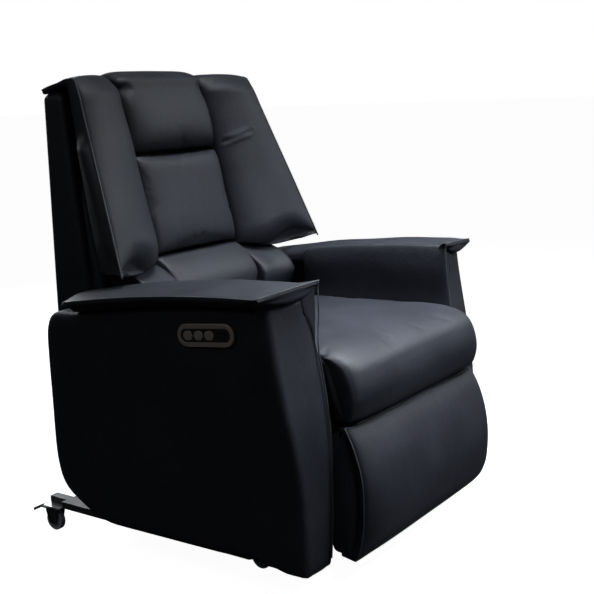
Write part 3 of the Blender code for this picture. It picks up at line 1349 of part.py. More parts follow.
def control_panel(finishes):
    back = -ARM_OUT - FIT_GAP
    face = back - BEZEL_DEPTH
    soften(solid("switch_housing", [switch_box_skin(0, -FIT_GAP)], finishes["black_plastic"]))
    plate = slab(panel_outline(PANEL_LENGTH, PANEL_HEIGHT), face, back, BEZEL_ROUND, 0, 2)
    bezel = solid("control_bezel", [plate], finishes["champagne"])
    windows = []
    for place in (*BUTTON_PLACE_SHARES, SOCKET_PLACE_SHARE):
        windows.append(slab(panel_outline(BUTTON_LENGTH + 2 * RUN_GAP, BUTTON_HEIGHT + 2 * RUN_GAP,
                                          place * BUTTON_PITCH), face - OVERRUN, back + OVERRUN))
    cut(bezel, "control_bezel", windows)
    soften(bezel)
    outer = face - BUTTON_PROUD
    for number, place in enumerate(BUTTON_PLACE_SHARES):
        outline = panel_outline(BUTTON_LENGTH, BUTTON_HEIGHT, place * BUTTON_PITCH)
        skin = slab(outline, outer, outer + BUTTON_PROUD + BUTTON_THICKNESS, BEZEL_ROUND / 2, 0, 2)
        soften(solid(f"button_{number + 1}", [skin], finishes["champagne"],
                     (outer, PANEL_Y, PANEL_Z)))
    outline = panel_outline(BUTTON_LENGTH, BUTTON_HEIGHT, SOCKET_PLACE_SHARE * BUTTON_PITCH)
    soften(solid("usb_socket", [slab(outline, back - SOCKET_DEPTH, back)], finishes["black_plastic"]))


# The chair

def main():
    clear_scene()
    finishes = {
        "leather": finish("black_leather", (0.012, 0.013, 0.018), 0.48),
        "dark_steel": finish("dark_painted_steel", (0.03, 0.03, 0.032), 0.5, 0.6),
        "bright_steel": finish("zinc_plated_steel", (0.55, 0.55, 0.56), 0.35, 1.0),
        "chrome": finish("chromed_steel", (0.7, 0.7, 0.72), 0.15, 1.0),
        "tread": finish("grey_rubber", (0.42, 0.43, 0.45), 0.6),
        "plywood": finish("plywood", (0.50, 0.36, 0.20), 0.7),
        "black_plastic": finish("black_plastic", (0.015, 0.015, 0.017), 0.4),
        "grey_plastic": finish("grey_nylon", (0.25, 0.25, 0.26), 0.5),
        "cover_cloth": finish("black_cover_cloth", (0.01, 0.01, 0.011), 0.9),
        "champagne": finish("champagne_metal", (0.48, 0.38, 0.29), 0.32, 0.9),
    }
    casters(finishes)
    base_frame(finishes["dark_steel"])
    arms(finishes)
    seat(finishes)
    mechanism_frame(finishes["dark_steel"])
    links(finishes)
    motors(finishes)
    footrest(finishes)
    back_frame(finishes)
    back_shell(finishes)
    centre_cushions(finishes)
    wings(finishes)
    rear_and_electrics(finishes)
    control_panel(finishes)


if __name__ == "__main__":
    main()
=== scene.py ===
"""Power recliner chair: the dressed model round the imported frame.

Metres, +Z up. The chair faces -Y and its own right arm is at -X.
"""

import logging
import math
from dataclasses import dataclass, field
from enum import Enum
from typing import Callable, Sequence

import bmesh
import bpy
import numpy as np
from mathutils import Matrix


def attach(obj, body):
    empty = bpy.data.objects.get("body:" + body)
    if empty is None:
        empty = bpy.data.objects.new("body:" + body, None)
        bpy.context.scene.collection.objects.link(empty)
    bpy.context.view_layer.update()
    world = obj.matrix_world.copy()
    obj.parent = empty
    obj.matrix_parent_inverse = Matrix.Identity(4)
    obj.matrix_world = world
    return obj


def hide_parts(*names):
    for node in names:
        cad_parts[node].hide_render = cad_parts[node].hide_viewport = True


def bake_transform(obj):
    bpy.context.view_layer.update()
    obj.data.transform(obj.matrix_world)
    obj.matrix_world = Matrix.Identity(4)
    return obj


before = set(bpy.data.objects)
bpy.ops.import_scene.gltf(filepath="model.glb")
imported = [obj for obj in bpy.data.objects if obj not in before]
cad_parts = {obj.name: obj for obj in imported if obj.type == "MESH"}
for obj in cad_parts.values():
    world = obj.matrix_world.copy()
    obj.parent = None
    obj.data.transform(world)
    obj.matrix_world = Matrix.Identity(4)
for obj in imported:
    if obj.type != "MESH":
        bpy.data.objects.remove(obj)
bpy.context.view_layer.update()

LOG = logging.getLogger("recliner")
Array = np.ndarray
Line = Callable[[Array], Array]
Pair = tuple[object, object]
Point = tuple[float, float, float]
Material = bpy.types.Material
Object = bpy.types.Object
Outputs = bpy.types.NodeOutputs
Socket = bpy.types.NodeSocket

# The control panel's middle on the right arm, as (y, z)
PANEL = (-0.139, 0.539)
# Half of the width of the seat and of the footrest
SEAT_HALF = 0.2812
# How strongly the rings of a stuffed form crowd towards its seam, as a power
CROWDING = 1.7
# A way that no cord of the chair runs, from which the cords' rings are turned
TUBE_LEAN = (0.31, 0.17, 0.93)
# The scale of brush lines in metal along each axis
BRUSHED = (900.0, 40.0, 900.0)
WHITE = (1.0, 1.0, 1.0, 1.0)


class Body(str, Enum):
    """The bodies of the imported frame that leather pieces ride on."""

    CHASSIS = "chassis"
    FOOTREST = "footrest"
    BACK = "back"


class Side(Enum):
    """The chair's own right and left."""

    RIGHT = -1
    LEFT = 1

    def named(self, stem: str) -> str:
        """A node's or piece's name on this side."""
        return f"{stem}_{self.name.lower()}"


# Shapes from arrays


def on_side(points: Array, side: Side) -> Array:
    """Points of the left side as they are, or mirrored to the right."""
    return points * np.array((side.value, 1.0, 1.0))


def strand(*columns: Array | float) -> Array:
    """Points from their coordinates, one a row; a plain number stands for every row."""
    return np.column_stack(np.broadcast_arrays(*columns))


def smooth_step(low: float, high: float, value: Array) -> Array:
    """A cubic ramp: 0 before low, 1 after high, level at both ends.

    Args:
        low: Where the ramp starts.
        high: Where the ramp ends.
        value: The places to work out.

    Returns:
        The ramp's height at each place.
    """
    share = np.clip((value - low) / (high - low), 0.0, 1.0)
    return share * share * (3.0 - 2.0 * share)


def bump(value: Array, centre: float, width: float) -> Array:
    """A bell curve: exp of minus the square of (value - centre) / width."""
    return np.exp(-(((value - centre) / width) ** 2))


def ripple(points: Array, size: float, seed: int) -> Array:
    """Slow unevenness: a sum of five sine waves with seeded directions.

    Args:
        points: Places, with x, y and z in the last axis.
        size: The mean wave length.
        seed: Chooses the waves' directions and phases.

    Returns:
        A height between about -1 and 1 at each place.
    """
    rng = np.random.default_rng(seed)
    total = np.zeros(points.shape[:-1])
    for _ in range(5):
        way = rng.normal(size=3)
        way /= np.linalg.norm(way)
        turn = 2.0 * math.pi / (size * rng.uniform(0.7, 1.6))
        total += np.sin(points @ way * turn + rng.uniform(0.0, 2.0 * math.pi))
    return total / 3.0


def travel(path: Array) -> Array:
    """How far along a path each of its points lies from the first."""
    return np.concatenate(([0.0], np.cumsum(np.linalg.norm(np.diff(path, axis=0), axis=1))))


def points_at(path: Array, places: Array) -> Array:
    """The points of a path at given distances along it."""
    return np.column_stack([np.interp(places, travel(path), column) for column in path.T])


def along(path: Array, count: int, closed: bool = False) -> Array:
    """A path resampled at equal steps.

    Args:
        path: Points, one a row.
        count: How many points to return.
        closed: Whether the last point joins the first.

    Returns:
        The new points; a closed path doesn't repeat its first one.
    """
    path = np.vstack((path, path[:1])) if closed else path
    return points_at(path, np.linspace(0.0, travel(path)[-1], count, endpoint=not closed))


def curve_through(points: Sequence[Sequence[float]], count: int) -> Array:
    """A smooth curve through points: Catmull-Rom pieces, resampled at equal steps.

    Args:
        points: The points that it passes through.
        count: How many points to return.

    Returns:
        The curve's points, one a row.
    """
    knots = np.asarray(points, float)
    knots = np.vstack((2 * knots[0] - knots[1], knots, 2 * knots[-1] - knots[-2]))
    share = np.linspace(0.0, 1.0, 24, endpoint=False)[:, None]
    pieces = []
    for first in range(len(knots) - 3):
        a, b, c, d = knots[first : first + 4]
        pieces.append(0.5 * (2 * b + (c - a) * share + (2 * a - 5 * b + 4 * c - d) * share**2
                             + (3 * b - a - 3 * c + d) * share**3))
    return along(np.vstack((*pieces, knots[-2][None])), count)


def corner_path(corners: Sequence[Point], count: int, steps: int = 10) -> Array:
    """A closed outline whose corners (a, b, radius) are rounded by quadratic arcs, at equal steps.

    Args:
        corners: Each corner's place and how far its rounding reaches.
        count: How many points to return.
        steps: How many points each corner gets before the even spacing.

    Returns:
        The outline's points, one a row.
    """
    places = np.array([corner[:2] for corner in corners], float)
    share = np.linspace(0.0, 1.0, steps)[:, None]
    pieces = []
    for index, (_, _, reach) in enumerate(corners):
        here = places[index]
        before = places[index - 1] - here
        after = places[(index + 1) % len(places)] - here
        near = min(reach / np.linalg.norm(before), 0.5) * before
        far = min(reach / np.linalg.norm(after), 0.5) * after
        pieces.append(here + near * (1 - share) ** 2 + far * share**2)
    return along(np.vstack(pieces), count, closed=True)


@dataclass
class Skin:
    """A surface on a grid of points; each ring's last point joins its first.

    Attributes:
        points: The grid, as rows of rings, each with x, y and z.
        cap: Whether the first and last ring are closed by a fan to their middle.
    """

    points: Array
    cap: bool = True

    def faces(self) -> list[list[int]]:
        """The grid's quads, and the fans that close its ends."""
        rings, count = self.points.shape[:2]
        here = np.arange(count)
        after = (here + 1) % count
        low = np.arange(rings - 1)[:, None] * count
        high = low + count
        made = np.stack((low + here, low + after, high + after, high + here), axis=-1)
        made = made.reshape(-1, 4).tolist()
        if self.cap:
            middle, last = rings * count, (rings - 1) * count
            first_fan = (np.full(count, middle), after, here)
            last_fan = (np.full(count, middle + 1), last + here, last + after)
            for fan in (first_fan, last_fan):
                made += np.stack(fan, axis=-1).tolist()
        return made

    def vertices(self) -> Array:
        """The grid's points, and the middle of each capped end."""
        flat = self.points.reshape(-1, 3)
        if self.cap:
            flat = np.vstack((flat, self.points[0].mean(axis=0), self.points[-1].mean(axis=0)))
        return flat


def piece(name: str, skins: Sequence[Skin], material: Material) -> Object:
    """An object made of skins, shaded smooth, with its faces turned outwards.

    Args:
        name: The object's name.
        skins: Its surfaces.
        material: What it is dressed in.

    Returns:
        The new object, at the origin.
    """
    vertices: list[Array] = []
    faces: list[list[int]] = []
    total = 0
    for skin in skins:
        points = skin.vertices()
        vertices.append(points)
        faces += [[total + index for index in face] for face in skin.faces()]
        total += len(points)
    mesh = bpy.data.meshes.new(name)
    mesh.from_pydata(np.vstack(vertices).tolist(), [], faces)
    mesh.validate()
    obj = bpy.data.objects.new(name, mesh)
    bpy.context.scene.collection.objects.link(obj)
    turn_outwards(mesh)
    mesh.materials.append(material)
    mesh.shade_smooth()
    return obj


def turn_outwards(mesh: bpy.types.Mesh) -> None:
    """Recalculates a mesh's normals, so that its faces point outwards.

    Args:
        mesh: The mesh, changed in place.
    """
    work = bmesh.new()
    work.from_mesh(mesh)
    bmesh.ops.recalc_face_normals(work, faces=work.faces)
    work.to_mesh(mesh)
    work.free()


def tube(path: Array, radius: float, sides: int = 8) -> Skin:
    """A round cord along a path, each ring square to the path's direction there.

    Args:
        path: The cord's middle, one point a row.
        radius: The cord's radius.
        sides: How many points a ring has.

    Returns:
        The cord's skin.
    """
    ahead = np.gradient(path, axis=0)
    ahead /= np.linalg.norm(ahead, axis=1, keepdims=True)
    aside = np.cross(ahead, TUBE_LEAN)
    aside /= np.linalg.norm(aside, axis=1, keepdims=True)
    up = np.cross(aside, ahead)
    turn = np.linspace(0.0, 2.0 * math.pi, sides, endpoint=False)[None, :, None]
    around = np.cos(turn) * aside[:, None, :] + np.sin(turn) * up[:, None, :]
    return Skin(path[:, None, :] + radius * around)


# Finishes


def tone(colour: Point, share: float = 1.0) -> tuple[float, ...]:
    """A colour made darker or lighter by a share, with the fourth value that a socket takes."""
    return (*(part * share for part in colour), 1.0)


class Nodes:
    """A small hand for laying out a node tree."""

    def __init__(self, tree: bpy.types.NodeTree) -> None:
        """Takes the tree that the nodes go into."""
        self.tree = tree

    def link(self, value: object, socket: Socket) -> None:
        """Joins an output to a socket, or sets a plain value on it.

        Args:
            value: An output socket, a number or a tuple.
            socket: The input that takes it.
        """
        if isinstance(value, Socket):
            self.tree.links.new(value, socket)
        else:
            socket.default_value = value

    def add(self, kind: str, feeds: dict[int | str, object], **ways: object) -> Outputs:
        """One new node.

        Args:
            kind: The node's type, without the word that every shader node's type starts with.
            feeds: What goes into its inputs, by their number or name.
            ways: The node's own settings.

        Returns:
            Its outputs.
        """
        node = self.tree.nodes.new(f"ShaderNode{kind}")
        for way, choice in ways.items():
            setattr(node, way, choice)
        for place, value in feeds.items():
            self.link(value, node.inputs[place])
        return node.outputs

    def maths(self, way: str, first: object, second: object = 0.0, clamp: bool = False) -> Socket:
        """One sum on two values; way names it as the Math node does."""
        return self.add("Math", {0: first, 1: second}, operation=way, use_clamp=clamp)[0]

    def blend(self, share: object, first: object, second: object) -> Socket:
        """A colour between two, by a share."""
        return self.add("Mix", {0: share, 6: first, 7: second}, data_type="RGBA")[2]


class Shader(Nodes):
    """A material's nodes: a Principled shader fed by patterns on the object's own coordinates."""

    def __init__(self, name: str) -> None:
        """Starts a material with a Principled shader on its output.

        Args:
            name: The material's name.
        """
        self.material = bpy.data.materials.new(name)
        self.material.use_nodes = True
        super().__init__(self.material.node_tree)
        self.surface = self.tree.nodes["Principled BSDF"]
        self.place = self.add("TexCoord", {})["Object"]

    def noise(self, scale: float, detail: float = 3.0, place: object = None) -> Socket:
        """Smooth noise; a higher scale is finer."""
        feeds = {"Vector": place or self.place, "Scale": scale, "Detail": detail}
        return self.add("TexNoise", feeds)["Fac"]

    def cells(self, scale: float, feature: str) -> Socket:
        """The distance to the nearest of scattered points, which gives pebbles."""
        return self.add("TexVoronoi", {"Vector": self.place, "Scale": scale},
                        feature=feature)["Distance"]

    def ramp(self, value: object, low: float, high: float, to_low: float = 0.0,
             to_high: float = 1.0) -> Socket:
        """A value mapped from one range to another and held inside it."""
        return self.add("MapRange", dict(enumerate((value, low, high, to_low, to_high))))[0]

    def products(self, way: str, first: Pair, second: Pair) -> Socket:
        """One sum on the products of two pairs of values."""
        return self.maths(way, *(self.maths("MULTIPLY", *pair) for pair in (first, second)))

    def relief(self, height: object, depth: float, under: object = None) -> Socket:
        """A bump from a height.

        Args:
            height: The height, from a pattern.
            depth: How deep the full height is, in metres.
            under: Another bump that this one is laid over.

        Returns:
            The bump's normal.
        """
        feeds = {"Distance": depth, "Height": height}
        if under is not None:
            feeds["Normal"] = under
        return self.add("Bump", feeds)["Normal"]

    def streaks(self, scale: Point, detail: float = 3.0) -> Socket:
        """Noise drawn out into lines: its scale along each axis."""
        drawn = self.add("Mapping", {"Vector": self.place, "Scale": scale})["Vector"]
        return self.noise(1.0, detail, drawn)

    def axes(self) -> Outputs:
        """The object's coordinates, one by one."""
        return self.add("SeparateXYZ", {0: self.place})

    def edges(self) -> Socket:
        """Where the surface is sharply convex, from the pointiness."""
        return self.ramp(self.add("NewGeometry", {})["Pointiness"], 0.5, 0.56)

    def set(self, **values: object) -> None:
        """Sets the shader's own sockets; underscores stand for the spaces in their names."""
        for key, value in values.items():
            self.link(value, self.surface.inputs[key.replace("_", " ")])

    def rough(self, pattern: object, limits: tuple[float, float]) -> None:
        """Sets a roughness that runs between two limits, by the middle range of a noise."""
        self.set(Roughness=self.ramp(pattern, 0.3, 0.7, *limits))


@dataclass(frozen=True)
class Finish:
    """A surface finish; each kind lays its own nodes."""

    name: str

    def lay(self, sheet: Shader) -> None:
        """Lays the finish's nodes."""
        raise NotImplementedError

    def material(self) -> Material:
        """The finish as a material."""
        sheet = Shader(self.name)
        self.lay(sheet)
        return sheet.material


@dataclass(frozen=True)
class Leather(Finish):
    """Finished hide: a fine pebble grain, slow creases, and a soft sheen on its raised parts."""

    name: str = "navy_black_leather"
    colour: Point = (0.0128, 0.0148, 0.0222)
    worn: Point = (0.020, 0.0225, 0.032)
    grain: float = 480.0
    grain_depth: float = 0.00042
    crease_depth: float = 0.0012
    roughness: tuple[float, float] = (0.50, 0.62)
    coat: float = 0.06

    def lay(self, sheet: Shader) -> None:
        """Patches of two tones, pebbles with finer pores between them, over slow creases."""
        slow = sheet.noise(9.0)
        patches = sheet.ramp(slow, 0.35, 0.68)
        sheet.set(Base_Color=sheet.blend(patches, tone(self.colour), tone(self.worn)))
        mixed = sheet.products("ADD", (slow, 0.6), (sheet.noise(260.0, 4.0), 0.4))
        sheet.rough(mixed, self.roughness)
        pores = sheet.maths("MULTIPLY", sheet.cells(self.grain * 2.3, "F1"), 0.35)
        grain = sheet.maths("ADD", sheet.cells(self.grain, "SMOOTH_F1"), pores)
        creases = sheet.relief(sheet.noise(34.0, 5.0), self.crease_depth)
        sheet.set(Normal=sheet.relief(grain, self.grain_depth, creases))
        sheet.set(Specular_IOR_Level=0.42, Coat_Weight=self.coat, Coat_Roughness=0.38)


@dataclass(frozen=True)
class Thread(Finish):
    """Sewing thread: a touch lighter than the hide, with a fine twist."""

    name: str = "seam_thread"
    colour: Point = (0.050, 0.056, 0.068)
    roughness: float = 0.55

    def lay(self, sheet: Shader) -> None:
        """A fine noise for the twist, in tone and relief."""
        twist = sheet.noise(900.0, 2.0)
        sheet.set(Base_Color=sheet.blend(twist, tone(self.colour, 0.6), tone(self.colour)))
        sheet.set(Roughness=self.roughness, Normal=sheet.relief(twist, 0.0002))


@dataclass(frozen=True)
class Metal(Finish):
    """Painted, plated or anodised metal: brush lines, dull patches and bright or bare edges."""

    colour: Point
    edge: Point
    metallic: float = 1.0
    roughness: tuple[float, float] = (0.28, 0.42)
    depth: float = 0.00003

    def lay(self, sheet: Shader) -> None:
        """Dull patches under the edges' tone, and a relief of brush lines."""
        lines = sheet.streaks(BRUSHED)
        dull = sheet.noise(45.0, 4.0)
        patch = sheet.blend(sheet.ramp(dull, 0.4, 0.7, 0.0, 0.6), tone(self.colour),
                            tone(self.colour, 0.7))
        sheet.set(Base_Color=sheet.blend(sheet.edges(), patch, tone(self.edge)))
        sheet.rough(sheet.products("ADD", (dull, 0.6), (lines, 0.4)), self.roughness)
        sheet.set(Metallic=self.metallic, Normal=sheet.relief(lines, self.depth))


@dataclass(frozen=True)
class Moulded(Finish):
    """Moulded plastic or rubber with a fine spark texture."""

    colour: Point
    roughness: tuple[float, float] = (0.4, 0.55)

    def lay(self, sheet: Shader) -> None:
        """Slow patches of dust, and the spark texture's relief."""
        dust = sheet.noise(30.0, 5.0)
        dusty = tone(tuple(min(part * 1.35 + 0.004, 1.0) for part in self.colour))
        sheet.set(Base_Color=sheet.blend(sheet.ramp(dust, 0.4, 0.75), tone(self.colour), dusty))
        sheet.rough(dust, self.roughness)
        sheet.set(Normal=sheet.relief(sheet.noise(1100.0), 0.00006))


@dataclass(frozen=True)
class Faceplate(Finish):
    """The control panel's plate: a brushed champagne rim round a dark field with round ends."""

    name: str = "champagne_faceplate"
    rim: Point = (0.60, 0.49, 0.41)
    field: Point = (0.030, 0.030, 0.034)
    tilt: float = 0.0944
    straight: float = 0.0508
    reach: float = 0.0142
    blur: float = 0.0004

    def lay(self, sheet: Shader) -> None:
        """Dark where the distance to the plate's middle line is under the field's reach."""
        split = sheet.axes()
        cosine, sine = math.cos(self.tilt), math.sin(self.tilt)
        y = sheet.maths("SUBTRACT", split["Y"], PANEL[0])
        z = sheet.maths("SUBTRACT", split["Z"], PANEL[1])
        run = sheet.products("SUBTRACT", (y, cosine), (z, sine))
        up = sheet.products("ADD", (y, sine), (z, cosine))
        past = sheet.maths("SUBTRACT", sheet.maths("ABSOLUTE", run), self.straight)
        past = sheet.maths("MAXIMUM", past, 0.0)
        gap = sheet.maths("SQRT", sheet.products("ADD", (past, past), (up, up)))
        rim = sheet.ramp(gap, self.reach - self.blur, self.reach + self.blur)
        lines = sheet.streaks(BRUSHED)
        sheet.set(Base_Color=sheet.blend(rim, tone(self.field), tone(self.rim)))
        sheet.set(Metallic=sheet.maths("MULTIPLY", rim, 0.45))
        sheet.rough(lines, (0.28, 0.42))
        sheet.set(Normal=sheet.relief(rim, 0.0006, sheet.relief(lines, 0.00003)))


@dataclass(frozen=True)
class Plywood(Finish):
    """Birch ply: long grain lines and a slow change of tone."""

    name: str = "birch_ply"
    pale: Point = (0.56, 0.40, 0.23)
    dark: Point = (0.38, 0.25, 0.13)

    def lay(self, sheet: Shader) -> None:
        """Grain lines in tone, gloss and relief."""
        lines = sheet.streaks((60.0, 8.0, 160.0), 4.0)
        sheet.set(Base_Color=sheet.blend(sheet.ramp(lines, 0.35, 0.65), tone(self.pale),
                                         tone(self.dark)))
        sheet.rough(lines, (0.55, 0.7))
        sheet.set(Normal=sheet.relief(lines, 0.0003))


@dataclass(frozen=True)
class LiningCloth(Finish):
    """Black dust cloth: a fine plain weave of crossing threads."""

    name: str = "black_dust_cloth"
    colour: Point = (0.010, 0.010, 0.011)
    threads: float = 5200.0

    def lay(self, sheet: Shader) -> None:
        """The product of two sine waves for the weave, under patches of lint."""
        split = sheet.axes()
        warp, weft = (sheet.maths("SINE", sheet.maths("MULTIPLY", split[way], self.threads))
                      for way in "XZ")
        lint = sheet.noise(70.0, 5.0)
        sheet.set(Base_Color=sheet.blend(lint, tone(self.colour), tone(self.colour, 2.2)))
        sheet.rough(lint, (0.85, 0.95))
        sheet.set(Normal=sheet.relief(sheet.maths("MULTIPLY", warp, weft), 0.0001))


class Coat(Enum):
    """Every finish on the chair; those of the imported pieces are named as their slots."""

    LEATHER = Leather()
    THREAD = Thread()
    # The piping's tones are lighter than the hide's: a painted highlight along the piped cords.
    PIPING = Leather("navy_black_piping", (0.045, 0.051, 0.062), (0.062, 0.069, 0.082),
                     crease_depth=0.0003)
    DARK_STEEL = Metal("black_painted_steel", (0.018, 0.018, 0.020), (0.05, 0.05, 0.052), 0.0,
                       (0.35, 0.5), 0.00002)
    BRIGHT_STEEL = Metal("zinc_plated_steel", (0.52, 0.52, 0.54), (0.68, 0.68, 0.70))
    CHROME = Metal("chromed_steel", (0.78, 0.79, 0.82), (0.90, 0.90, 0.92), 0.55, (0.10, 0.24))
    CHAMPAGNE = Metal("champagne_metal", (0.52, 0.43, 0.36), (0.70, 0.61, 0.54), 0.45)
    FACEPLATE = Faceplate()
    TREAD = Moulded("grey_rubber", (0.62, 0.65, 0.72), (0.30, 0.50))
    BLACK_PLASTIC = Moulded("black_plastic", (0.012, 0.012, 0.014))
    GREY_PLASTIC = Moulded("grey_nylon", (0.22, 0.22, 0.23))
    PLYWOOD = Plywood()
    COVER_CLOTH = LiningCloth()


# Stuffed forms


def pillow(edge: Array, lift: Point, rings: int, shoulder: float, fullness: float = 2.0) -> Array:
    """A stuffed face over an edge loop: each ring is the loop drawn towards its middle by s, and
    lifted by (1 - s ** shoulder) ** (1 / fullness), so it rises steeply at the seam and is nearly
    flat inside.

    Args:
        edge: The edge loop, one point a row.
        lift: The way and the height of the full lift.
        rings: How many rings it has.
        shoulder: A higher power keeps the steep part nearer the seam.
        fullness: A higher power makes the shoulder squarer.

    Returns:
        Rings of points, from the edge inwards.
    """
    share = 1.0 - np.linspace(0.0, 1.0, rings) ** CROWDING
    share = np.clip(share, 0.02, 1.0)[:, None, None]
    middle = edge.mean(axis=0)
    rise = (1.0 - share**shoulder) ** (1.0 / fullness)
    return middle + (edge - middle) * share + np.array(lift) * rise


def crease(points: Array, start: Point, end: Point, depth: Point, width: float) -> Array:
    """Points pushed in along a short line, as a fold in leather: depth times a bell curve of the
    distance to the line with a low rim round it, fading at both of its ends.

    Args:
        points: The points to move, with x, y and z in the last axis.
        start: The line's first end.
        end: Its other end.
        depth: The way and depth of the push at the line's middle.
        width: How wide the fold is.

    Returns:
        The moved points.
    """
    first, last = np.array(start), np.array(end)
    run = last - first
    share = np.clip((points - first) @ run / (run @ run), 0.0, 1.0)
    gap = np.linalg.norm(points - first - share[..., None] * run, axis=-1)
    fade = np.sin(np.pi * np.clip(share, 0.02, 0.98)) ** 0.6
    dip = bump(gap, 0.0, width) - 0.35 * bump(gap, 1.6 * width, width)
    return points + np.array(depth) * (dip * fade)[..., None]


def table(pairs: Sequence[tuple[float, float]]) -> Line:
    """A function that runs smoothly through (place, value) pairs."""
    knots = np.array(pairs, float)
    places, values = knots[:, 0], knots[:, 1]
    slope = np.gradient(values, places)

    def read(at: Array) -> Array:
        """The cubic through the pairs on either side, held level past the ends."""
        at = np.clip(np.asarray(at, float), places[0], places[-1])
        step = np.clip(np.searchsorted(places, at, side="right") - 1, 0, len(places) - 2)
        wide = places[step + 1] - places[step]
        t = (at - places[step]) / wide
        return ((2 * t**3 - 3 * t**2 + 1) * values[step]
                + (t**3 - 2 * t**2 + t) * wide * slope[step]
                + (3 * t**2 - 2 * t**3) * values[step + 1]
                + (t**3 - t**2) * wide * slope[step + 1])

    return read


def stitches(path: Array, pitch: float = 0.0042, length: float = 0.0030,
             radius: float = 0.00045) -> list[Skin]:
    """A row of short thread lengths along a path.

    Args:
        path: The seam, one point a row.
        pitch: From one stitch to the next.
        length: A stitch's length.
        radius: The thread's radius.

    Returns:
        One skin for each stitch.
    """
    starts = np.arange(pitch / 2, travel(path)[-1] - length, pitch)
    return [tube(points_at(path, np.linspace(start, start + length, 3)), radius, 4)
            for start in starts]


def coordinates(mesh: bpy.types.Mesh) -> Array:
    """A mesh's points.

    Args:
        mesh: The mesh.

    Returns:
        Its points, one a row.
    """
    flat = np.empty(len(mesh.vertices) * 3)
    mesh.vertices.foreach_get("co", flat)
    return flat.reshape(-1, 3)


@dataclass(frozen=True)
class Stuffing:
    """How a cover is blown up by a short cloth simulation from the shape that it was cut to.

    Attributes:
        cap: The furthest that a point may move.
        voxel: The remesh's step.
        pressure: The pressure inside the cover.
        frames: How many frames it runs for.
    """

    cap: float
    voxel: float = 0.005
    pressure: float = 4.0
    frames: int = 20

    def remesh(self, obj: Object) -> None:
        """Exchanges an object's mesh for an even one.

        Args:
            obj: The closed piece.
        """
        grid = obj.modifiers.new("grid", "REMESH")
        grid.mode = "VOXEL"
        grid.voxel_size = self.voxel
        even = obj.evaluated_get(bpy.context.evaluated_depsgraph_get())
        mesh = bpy.data.meshes.new_from_object(even)
        obj.modifiers.clear()
        old, obj.data = obj.data, mesh
        mesh.name = obj.name
        bpy.data.meshes.remove(old)

    def blown(self, obj: Object) -> Array:
        """Runs the simulation on an object and leaves its mesh as it was.

        Args:
            obj: The evenly meshed piece.

        Returns:
            Its points after the last frame.
        """
        cloth = obj.modifiers.new("stuffing", "CLOTH")
        rules = cloth.settings
        rules.quality = 4
        rules.mass = 0.3
        rules.use_pressure = True
        rules.uniform_pressure_force = self.pressure
        rules.effector_weights.gravity = 0.0
        cloth.collision_settings.use_collision = False
        cloth.point_cache.frame_start = 1
        cloth.point_cache.frame_end = self.frames
        for step in range(1, self.frames + 1):
            bpy.context.scene.frame_set(step)
        made = coordinates(obj.evaluated_get(bpy.context.evaluated_depsgraph_get()).to_mesh())
        obj.modifiers.clear()
        bpy.context.scene.frame_set(1)
        return made

    def fill(self, obj: Object) -> None:
        """Remeshes a closed piece, blows it up, holds each point's move under the cap, and adds one
        subdivision.

        Args:
            obj: The piece; its mesh is exchanged for the stuffed one.
        """
        self.remesh(obj)
        start = coordinates(obj.data)
        move = self.blown(obj) - start
        reach = np.linalg.norm(move, axis=1, keepdims=True)
        LOG.info("%s: stuffed, %d points, %.1f mm at most", obj.name, len(start),
                 reach.max() * 1000.0)
        move *= np.minimum(1.0, self.cap / np.maximum(reach, 1e-9))
        obj.data.vertices.foreach_set("co", (start + move).ravel())
        obj.data.update()
        obj.data.shade_smooth()
        finer = obj.modifiers.new("finer", "SUBSURF")
        finer.levels = finer.render_levels = 1


def stand(obj: Object, axes: Sequence[Array], place: Point) -> None:
    """Links an object into the scene and stands it in its place.

    Args:
        obj: The object.
        axes: The way that its own x, y and z point.
        place: Where it stands.
    """
    whole = np.eye(4)
    whole[:3, :3], whole[:3, 3] = np.column_stack(axes), place
    bpy.context.scene.collection.objects.link(obj)
    obj.matrix_world = Matrix(whole.tolist())


@dataclass(frozen=True)
class Lamp:
    """A rectangular lamp that faces a point.

    Attributes:
        name: The lamp's name.
        place: Where it stands.
        size: Its width and height.
        power: Its power in watts.
        aim: The point that it faces.
        spread: How widely its light fans out, in degrees.
    """

    name: str
    place: Point
    size: tuple[float, float]
    power: float
    aim: Point
    spread: float = 180.0

    def build(self) -> None:
        """The lamp in the scene."""
        light = bpy.data.lights.new(self.name, "AREA")
        light.shape = "RECTANGLE"
        light.size, light.size_y = self.size
        light.energy = self.power
        light.color = (0.92, 0.96, 1.0)
        light.spread = math.radians(self.spread)
        back = np.subtract(self.place, self.aim)
        back /= np.linalg.norm(back)
        right = np.cross((0.0, 0.0, 1.0), back)
        right /= np.linalg.norm(right)
        stand(bpy.data.objects.new(self.name, light), (right, np.cross(back, right), back),
              self.place)


